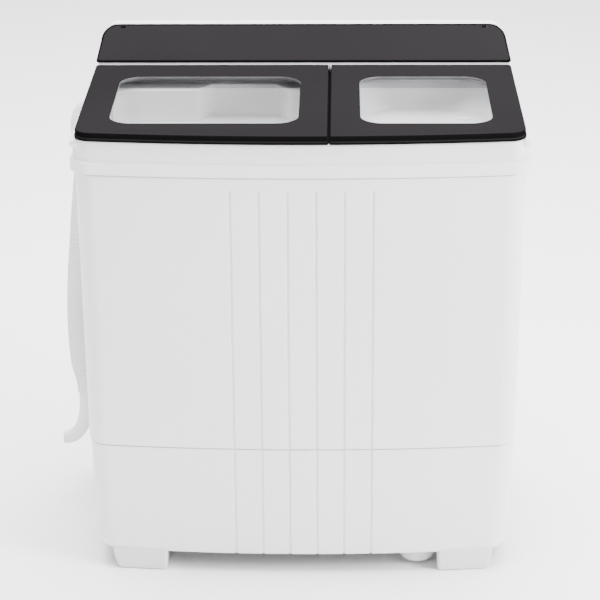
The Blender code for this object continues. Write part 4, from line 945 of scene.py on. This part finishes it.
def make_wash_tub():
    floor = 0.3
    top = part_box("wash_tub")[1].z
    rings = [tub_ring(0.0, top, 0.0005), tub_ring(0.0, top - 0.0005), tub_ring(0.0, 0.74),
             tub_ring(0.0025, 0.6),
             tub_ring(0.0055, 0.43), tub_ring(0.008, floor + 0.018)]
    rings += [tub_ring(0.008 + 0.014 * (1 - cos(radians(a))), floor + 0.014 * (1 - sin(radians(a))))
              for a in (20, 40, 60, 80)]
    inside = solid([tub_ring(0.0, top + 0.02)] + rings)
    tub = stack("wash_tub_shell", [
        tub_ring(0.02, floor - 0.003, 0.003), tub_ring(0.011, floor + 0.003, 0.003),
                                   tub_ring(0.008, floor + 0.015, 0.003),
        tub_ring(0.0, 0.745, 0.003), tub_ring(0.0, 0.746, 0.0095), tub_ring(0.0, 0.7466, 0.01),
                                   tub_ring(0.0, top, 0.01)])
    ribs = [block((-0.3215, y - 0.006, 0.36), (-0.313, y + 0.006, 0.62), 0.0028)
            for y in (-0.12, -0.03, 0.06)]
    ribs += [block((x - 0.006, 0.122, 0.36), (x + 0.006, 0.131, 0.62), 0.0028) for x in (-0.25, -0.19)]
    apply_booleans(tub, [inside])
    holes = [rod(0.01, (-0.15, -0.03, 0.28), (-0.15, -0.03, 0.32), 32),
             rod(0.014, (-0.034, 0.092, 0.28), (-0.034, 0.092, 0.32), 32)]
    apply_booleans(tub, holes, ribs)
    dress(tub, "tub_plastic", "root", "wash_tub")


LEDGE_TOP = 0.694
LEDGE_FACE = [(-0.3195, 0.06), (0.0275, 0.06)]
HEAD_FACE = [(-0.3195, 0.06), (-0.312, 0.07), (-0.302, 0.078), (-0.29, 0.082), (-0.175, 0.083),
             (-0.151, 0.115),
             (-0.0445, 0.115), (-0.0216, 0.083), (0.000, 0.082), (0.016, 0.074), (0.0275, 0.06)]
HEAD_TOP = 0.75
SHELF_WALL = 0.0025


def shelf_outline(face):
    """Plan of a shelf, from its face back to the tub's rear wall. The corners of the face are soft."""
    soft = [face[0]]
    for before, here, after in zip(face, face[1:], face[2:]):
        here = Vector(here)
        start = here + (Vector(before) - here).normalized() * 0.005
        end = here + (Vector(after) - here).normalized() * 0.005
        soft += [tuple(start.lerp(here, t).lerp(here.lerp(end, t), t)) for t in (0, 0.25, 0.5, 0.75, 1)]
    soft.append(face[-1])
    rear, radius = 0.127, 0.0475
    return (soft + arc(face[-1][0] - radius, rear - radius, radius, 0, 90, 12)
            + arc(face[0][0] + radius, rear - radius, radius, 90, 180, 12))


def drawn_in(outline, amount):
    """Anticlockwise outline with every side moved in by amount."""
    points = []
    for before, here, after in zip(outline[-1:] + outline[:-1], outline, outline[1:] + outline[:1]):
        a = (Vector(here) - Vector(before)).normalized()
        b = (Vector(after) - Vector(here)).normalized()
        inward = Vector((-a.y - b.y, a.x + b.x)).normalized()
        points.append(tuple(Vector(here) + inward * amount / max(0.6, inward.dot(Vector((-a.y, a.x))))))
    return points


def shelf(face, low, high, name="tool"):
    """Solid shelf with a rounded upper edge."""
    outline = shelf_outline(face)
    rings = [at_height(drawn_in(outline, 0.0004), low), at_height(outline, low + 0.0004)]
    rings += [at_height(drawn_in(outline, 0.003 * (1 - cos(radians(a)))),
                        high - 0.003 * (1 - sin(radians(a))))
              for a in (0, 22, 45, 68, 90)]
    return stack(name, rings)


def shelf_hollow(face, low, high):
    left, right = face[0][0] + SHELF_WALL, face[-1][0] - SHELF_WALL
    front = [(min(max(x, left), right), y + SHELF_WALL) for x, y in face]
    outline = front + [(right, 0.08), (right - 0.05, 0.14), (left + 0.05, 0.14), (left, 0.08)]
    return solid([at_height(outline, low), at_height(outline, high)])


def make_column():
    """Overflow housing: a column, a ledge and a head with a recess, and slots where the water leaves."""
    def pipe(inset, low, high):
        return stack("overflow_housing" if inset == 0 else "tool",
                     [at_height(rounded(-0.125 + inset, -0.02 - inset, 0.06 + inset, 0.1215 - inset, 0.01,
                                        8), z)
                      for z in (low, high)])

    column = pipe(0.0, 0.335, 0.69)
    hollows = [shelf_hollow(LEDGE_FACE, 0.66, LEDGE_TOP - SHELF_WALL),
               shelf_hollow(HEAD_FACE, 0.66, HEAD_TOP - SHELF_WALL),
               pipe(SHELF_WALL, 0.32, LEDGE_TOP - SHELF_WALL)]
    slots = [block((x - 0.003, 0.05, 0.63), (x + 0.003, 0.068, 0.662), 0.0029, 3)
             for x in [-0.1055 + 0.011 * i for i in range(7)]]
    apply_booleans(column, [], [shelf(LEDGE_FACE, LEDGE_TOP - 0.026, LEDGE_TOP),
                                shelf(HEAD_FACE, LEDGE_TOP - 0.002, HEAD_TOP)])
    apply_booleans(column, hollows + slots)
    dress(column, "tub_plastic", "root", "overflow_column")

    low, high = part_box("lint_filter")
    strainer = rounded_box("lint_filter_frame", tuple(low), tuple(high), 0.003, 3)
    hollow = block((low.x + 0.005, low.y + 0.004, low.z + 0.005),
                   (high.x - 0.005, high.y + 0.01, high.z - 0.005), 0.002)
    window = block((low.x + 0.009, low.y - 0.01, low.z + 0.012),
                   (high.x - 0.009, low.y + 0.01, high.z - 0.012), 0.003)
    apply_booleans(strainer, [hollow, window])
    dress(strainer, "grey_plastic", "lint_filter", "lint_filter")
    bm = bmesh.new()
    width, height, step = high.x - low.x - 0.014, high.z - low.z - 0.02, 0.0032
    for count, along, across in ((int(width / step), height, 0), (int(height / step), width, 1)):
        for i in range(count + 1):
            offset = (i - count / 2) * step
            size = (0.0005, 0.0005, along) if across == 0 else (along, 0.0005, 0.0005)
            shift = ((low.x + high.x) / 2 + (offset if across == 0 else 0), low.y + 0.0052,
                     (low.z + high.z) / 2 + (offset if across else 0))
            bmesh.ops.create_cube(bm, size=1.0, matrix=moved(shift) @ Matrix.Diagonal((*size, 1.0)))
    net = mesh_object("lint_filter_net", bm)
    dress(net, "hose_plastic", "lint_filter")


def make_pulsator():
    centre = Vector((-0.15, -0.03, 0.3))
    radius = 0.125
    profile = [(0.0, 0.03), (0.014, 0.0298), (0.0215, 0.0288), (0.026, 0.0262), (0.03, 0.0225),
               (0.036, 0.0185), (0.05, 0.0148),
               (0.07, 0.0122), (0.09, 0.0115), (0.108, 0.0125), (0.118, 0.0155), (0.1225, 0.019),
               (0.1245, 0.02),
               (radius, 0.019), (radius, 0.0065), (0.1235, 0.0055), (0.1, 0.0022), (0.0086, 0.002),
               (0.0086, 0.022), (0.0, 0.022)]
    disc = turned("pulsator_disc", profile, (0, 0, 0), 96)
    fins = []
    for i in range(6):
        turn = Matrix.Rotation(radians(60 * i), 4, "Z")
        fins.append(block((0.018, -0.0075, 0.008), (0.112, 0.0075, 0.0268), 0.0062, 5, turn))
    holes = []
    for i in range(6):
        for radius_at in (0.06, 0.076, 0.092):
            for side in (-1, 1):
                angle = radians(60 * i + 30) + side * 0.13
                x, y = radius_at * cos(angle), radius_at * sin(angle)
                holes.append(rod(0.0022, (x, y, 0.0), (x, y, 0.03), 12))
    apply_booleans(disc, holes, fins)
    disc.data.transform(moved(centre))
    dress(disc, "tub_plastic", "pulsator", "pulsator")
    cap = turned("pulsator_screw_cap", [(0.0, 0.0025), (0.006, 0.0023), (0.0085, 0.0013), (0.009, 0.0),
                                        (0.0, 0.0)],
                 (centre.x, centre.y, 0.3298), 40)
    dress(cap, "grey_plastic", "pulsator")


def make_basket():
    """Spin basket: a turned shell with rows of small drain holes through its side wall."""
    low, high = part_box("spin_basket")
    centre = Vector(((low.x + high.x) / 2, (low.y + high.y) / 2, 0))
    outer, inner = 0.1, 0.097
    rows, columns, bottom, top = 12, 36, 0.418, 0.685
    bm = bmesh.new()
    corner_angles = [radians(45 * k) for k in range(8)]
    square = [(1, 0), (1, 1), (0, 1), (-1, 1), (-1, 0), (-1, -1), (0, -1), (1, -1)]
    grid = {}

    def vertex(wall, column, row, u, v, round_hole):
        key = (wall, column, row, u, v) if round_hole else (wall, (2 * column + 1 + u) % (2 * columns),
                                                            2 * row + 1 + v)
        if key not in grid:
            cell_angle, cell_height = 2 * pi / columns, (top - bottom) / rows
            if round_hole:
                angle = (column + 0.5) * cell_angle + 0.0026 / outer * u
                z = bottom + (row + 0.5) * cell_height + 0.0026 * v
            else:
                angle = (column + 0.5 + u / 2) * cell_angle
                z = bottom + (row + 0.5 + v / 2) * cell_height
            grid[key] = bm.verts.new((wall * cos(angle), wall * sin(angle), z))
        return grid[key]

    for column in range(columns):
        for row in range(rows):
            rings = {wall: ([vertex(wall, column, row, u, v, False) for u, v in square],
                            [vertex(wall, column, row, cos(a), sin(a), True) for a in corner_angles])
                     for wall in (outer, inner)}
            for k in range(8):
                j = (k + 1) % 8
                for wall in (outer, inner):
                    edge, hole = rings[wall]
                    bm.faces.new((edge[k], edge[j], hole[j], hole[k]))
                bm.faces.new((rings[outer][1][k], rings[outer][1][j], rings[inner][1][j], rings[inner][1][k]))

    def border(wall, row_edge):
        return [grid[(wall, i, row_edge)] for i in range(2 * columns)]

    def ring(radius, z):
        return [bm.verts.new((radius * cos(pi * i / columns), radius * sin(pi * i / columns), z))
                for i in range(2 * columns)]

    def bridge(rings):
        for a, b in zip(rings, rings[1:]):
            for i in range(2 * columns):
                j = (i + 1) % (2 * columns)
                bm.faces.new((a[i], a[j], b[j], b[i]))

    upper = [(outer, 0.6955), (0.0992, 0.6985), (0.097, 0.6998), (0.094, 0.7), (0.088, 0.6992),
             (0.0862, 0.6984),
             (0.086, 0.6972), (0.0868, 0.6958), (0.094, 0.6945), (inner, 0.6925)]
    bridge([border(outer, 2 * rows)] + [ring(r, z) for r, z in upper] + [border(inner, 2 * rows)])
    lower = [(outer, 0.41), (0.0985, 0.403), (0.095, 0.398), (0.09, 0.396), (0.016, 0.396), (0.016, 0.39),
             (0.0086, 0.39), (0.0086, 0.4148)]
    rings = [border(outer, 0)] + [ring(r, z) for r, z in lower]
    bridge(rings)
    bm.faces.new(rings[-1])
    inside = [(inner, 0.413), (0.0955, 0.406), (0.0925, 0.4015), (0.088, 0.3996), (0.033, 0.3998),
              (0.029, 0.402),
              (0.024, 0.411), (0.018, 0.4215), (0.014, 0.4262), (0.008, 0.4292)]
    rings = [border(inner, 0)] + [ring(r, z) for r, z in inside]
    bridge(rings)
    bm.faces.new(rings[-1])
    bm.transform(moved(centre))
    basket = mesh_object("spin_basket_drum", bm)
    dress(basket, "tub_plastic", "spin_basket", "spin_basket")


def make_safety_disc():
    low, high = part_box("safety_disc")
    centre = ((low.x + high.x) / 2, (low.y + high.y) / 2, low.z)
    disc = turned("safety_plate", [(0.0215, 0.0058), (0.0225, 0.0062), (0.024, 0.006), (0.0245, 0.0045),
                                   (0.074, 0.0045),
                                   (0.076, 0.006), (0.0808, 0.006), (0.082, 0.005), (0.082, 0.0004),
                                   (0.0816, 0.0),
                                   (0.0782, 0.0), (0.0778, 0.0004), (0.0778, 0.0026), (0.0215, 0.0026)],
                  centre, 80)
    slots = [block((0.034, -0.0028, -0.01), (0.068, 0.0028, 0.02), 0.0026, 3,
                   moved(centre) @ Matrix.Rotation(2 * pi * i / 18, 4, "Z")) for i in range(18)]
    apply_booleans(disc, slots)
    dress(disc, "tub_plastic", "safety_disc", "safety_disc")


def make_spin_tub():
    low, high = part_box("spin_tub")
    centre = ((low.x + high.x) / 2, (low.y + high.y) / 2, 0)
    r = 0.115
    tub = turned("spin_tub_shell", [
        (r - 0.003, 0.704), (r - 0.0025, 0.7045), (r - 0.0005, 0.7045), (r, 0.704), (r, 0.376),
                                    (r - 0.003, 0.3685),
        (r - 0.012, 0.362), (0.0135, 0.362), (0.0135, 0.365), (r - 0.015, 0.365), (r - 0.0055, 0.37),
                                    (r - 0.003, 0.378)],
        centre, 96)
    dress(tub, "tub_plastic", "root", "spin_tub")


# Drain hose


def drain_route():
    """Centreline of the elbow, the hose and the nozzle."""
    elbow = [(-0.336, ELBOW_Y, 0.685), (-0.336, ELBOW_Y, 0.6995)]
    elbow += [(-0.355 + 0.019 * cos(radians(a)), ELBOW_Y, 0.6995 + 0.019 * sin(radians(a)))
              for a in range(15, 180, 15)]
    elbow += [(-0.374, ELBOW_Y, z) for z in (0.6995, 0.688, 0.66, 0.635, 0.612)]
    hose = [(-0.374, ELBOW_Y, 0.6114), (-0.374, ELBOW_Y, 0.598), (-0.3768, ELBOW_Y, 0.578),
            (-0.3825, 0.102, 0.53),
            (-0.3877, 0.1005, 0.475), (-0.393, 0.099, 0.42), (-0.3968, 0.0985, 0.3635), (-0.398, 0.099, 0.31),
            (-0.3955, 0.1, 0.249), (-0.388, 0.1, 0.215), (-0.386, 0.1, 0.2), (-0.386, 0.1, 0.19)]
    nozzle = [(-0.386, 0.1, 0.1892), (-0.386, 0.1, 0.176), (-0.3872, 0.1, 0.154), (-0.3925, 0.1, 0.13),
              (-0.4005, 0.1, 0.1135), (-0.41, 0.1, 0.1035), (-0.4195, 0.1, 0.1), (-0.4285, 0.1, 0.1003)]
    return elbow, hose, nozzle


def smooth_path(knots, step):
    """Points about step apart along a Catmull-Rom curve through the knots."""
    knots = [Vector(k) for k in knots]
    ends = [2 * knots[0] - knots[1]] + knots + [2 * knots[-1] - knots[-2]]
    fine = []
    for i in range(1, len(ends) - 2):
        a, b, c, d = ends[i - 1:i + 3]
        for part in range(40):
            t = part / 40
            fine.append(0.5 * (2 * b + (c - a) * t + (2 * a - 5 * b + 4 * c - d) * t**2
                               + (3 * b - 3 * c + d - a) * t**3))
    fine.append(knots[-1])
    lengths = np.concatenate([[0.0], np.cumsum([(b - a).length for a, b in zip(fine, fine[1:])])])
    count = max(2, round(lengths[-1] / step) + 1)
    goals = np.linspace(0, lengths[-1], count)
    return [Vector([np.interp(goal, lengths, [p[k] for p in fine]) for k in range(3)]) for goal in goals]


def swept(name, path, radii, sides=36, bore=None):
    """Tube along path. bore hollows it out from its far end to the given radius and depth."""
    path = [Vector(p) for p in path]
    side = Vector((0, 1, 0))
    rings = []
    for i, point in enumerate(path):
        along = (path[min(i + 1, len(path) - 1)] - path[max(i - 1, 0)]).normalized()
        side = (side - along * side.dot(along)).normalized()
        other = along.cross(side)
        rings.append([point + radii[i] * (cos(2 * pi * k / sides) * side + sin(2 * pi * k / sides) * other)
                      for k in range(sides)])
    if bore:
        radius, back = bore
        for i in range(len(path) - 1, back - 1, -1):
            along = (path[min(i + 1, len(path) - 1)] - path[max(i - 1, 0)]).normalized()
            side = (Vector((0, 1, 0)) - along * along.y).normalized()
            other = along.cross(side)
            rings.append([path[i] + radius * (cos(2 * pi * k / sides) * side
                                              + sin(2 * pi * k / sides) * other)
                          for k in range(sides)])
    return stack(name, rings)


def make_drain_hose():
    elbow, hose, nozzle = drain_route()
    path = smooth_path(elbow, 0.0012)
    radii = []
    for point in path:
        if point.x > -0.3615:
            share = 0.0
        else:
            share = min(1.0, max(0.0, (0.716 - point.z) / 0.03))
        share = share * share * (3 - 2 * share)
        radius = 0.0102 + (0.0168 - 0.0102) * share
        ridge = exp(-((point.z - 0.6155) / 0.0022) ** 2) if point.x < -0.3615 else 0.0
        radii.append(min(0.017, radius - 0.0012 * (point.z < 0.645 and point.x < -0.36) + 0.0014 * ridge))
    cuff = swept("drain_elbow_cuff", path, radii)
    dress(cuff, "hose_plastic", "root", "drain_elbow")

    path = smooth_path(hose, 0.00055)
    pitch, travelled, radii = 0.0042, 0.0, []
    for i, point in enumerate(path):
        if i:
            travelled += (point - path[i - 1]).length
        wave = 0.5 - 0.5 * cos(2 * pi * travelled / pitch)
        radii.append(0.0134 + 0.0015 * wave**0.7)
    corrugated = swept("drain_hose_corrugated", path, radii, 28)
    dress(corrugated, "hose_plastic", "root", "drain_hose")
    end_path = smooth_path(nozzle, 0.0015)
    count = len(end_path)
    radii = []
    for i in range(count):
        share = i / (count - 1)
        radii.append(0.0124 - 0.0006 * share + 0.0004 * exp(-((share - 0.985) / 0.012) ** 2))
    radii[0] = radii[0] - 0.0004
    tip = swept("hose_nozzle_tip", end_path, radii, 36, bore=(0.0095, count - 16))
    dress(tip, "hose_plastic", "root", "hose_nozzle")


make_camera()
dress_frame()
make_drain_hose()
make_base()
make_cabinet()
make_rear_cover()
make_feet()
make_deck()
make_lid("wash")
make_lid("spin")
make_gap_shade_strip()
make_cover()
make_housing()
make_controls()
make_wash_tub()
make_column()
make_pulsator()
make_basket()
make_safety_disc()
make_spin_tub()
make_studio()
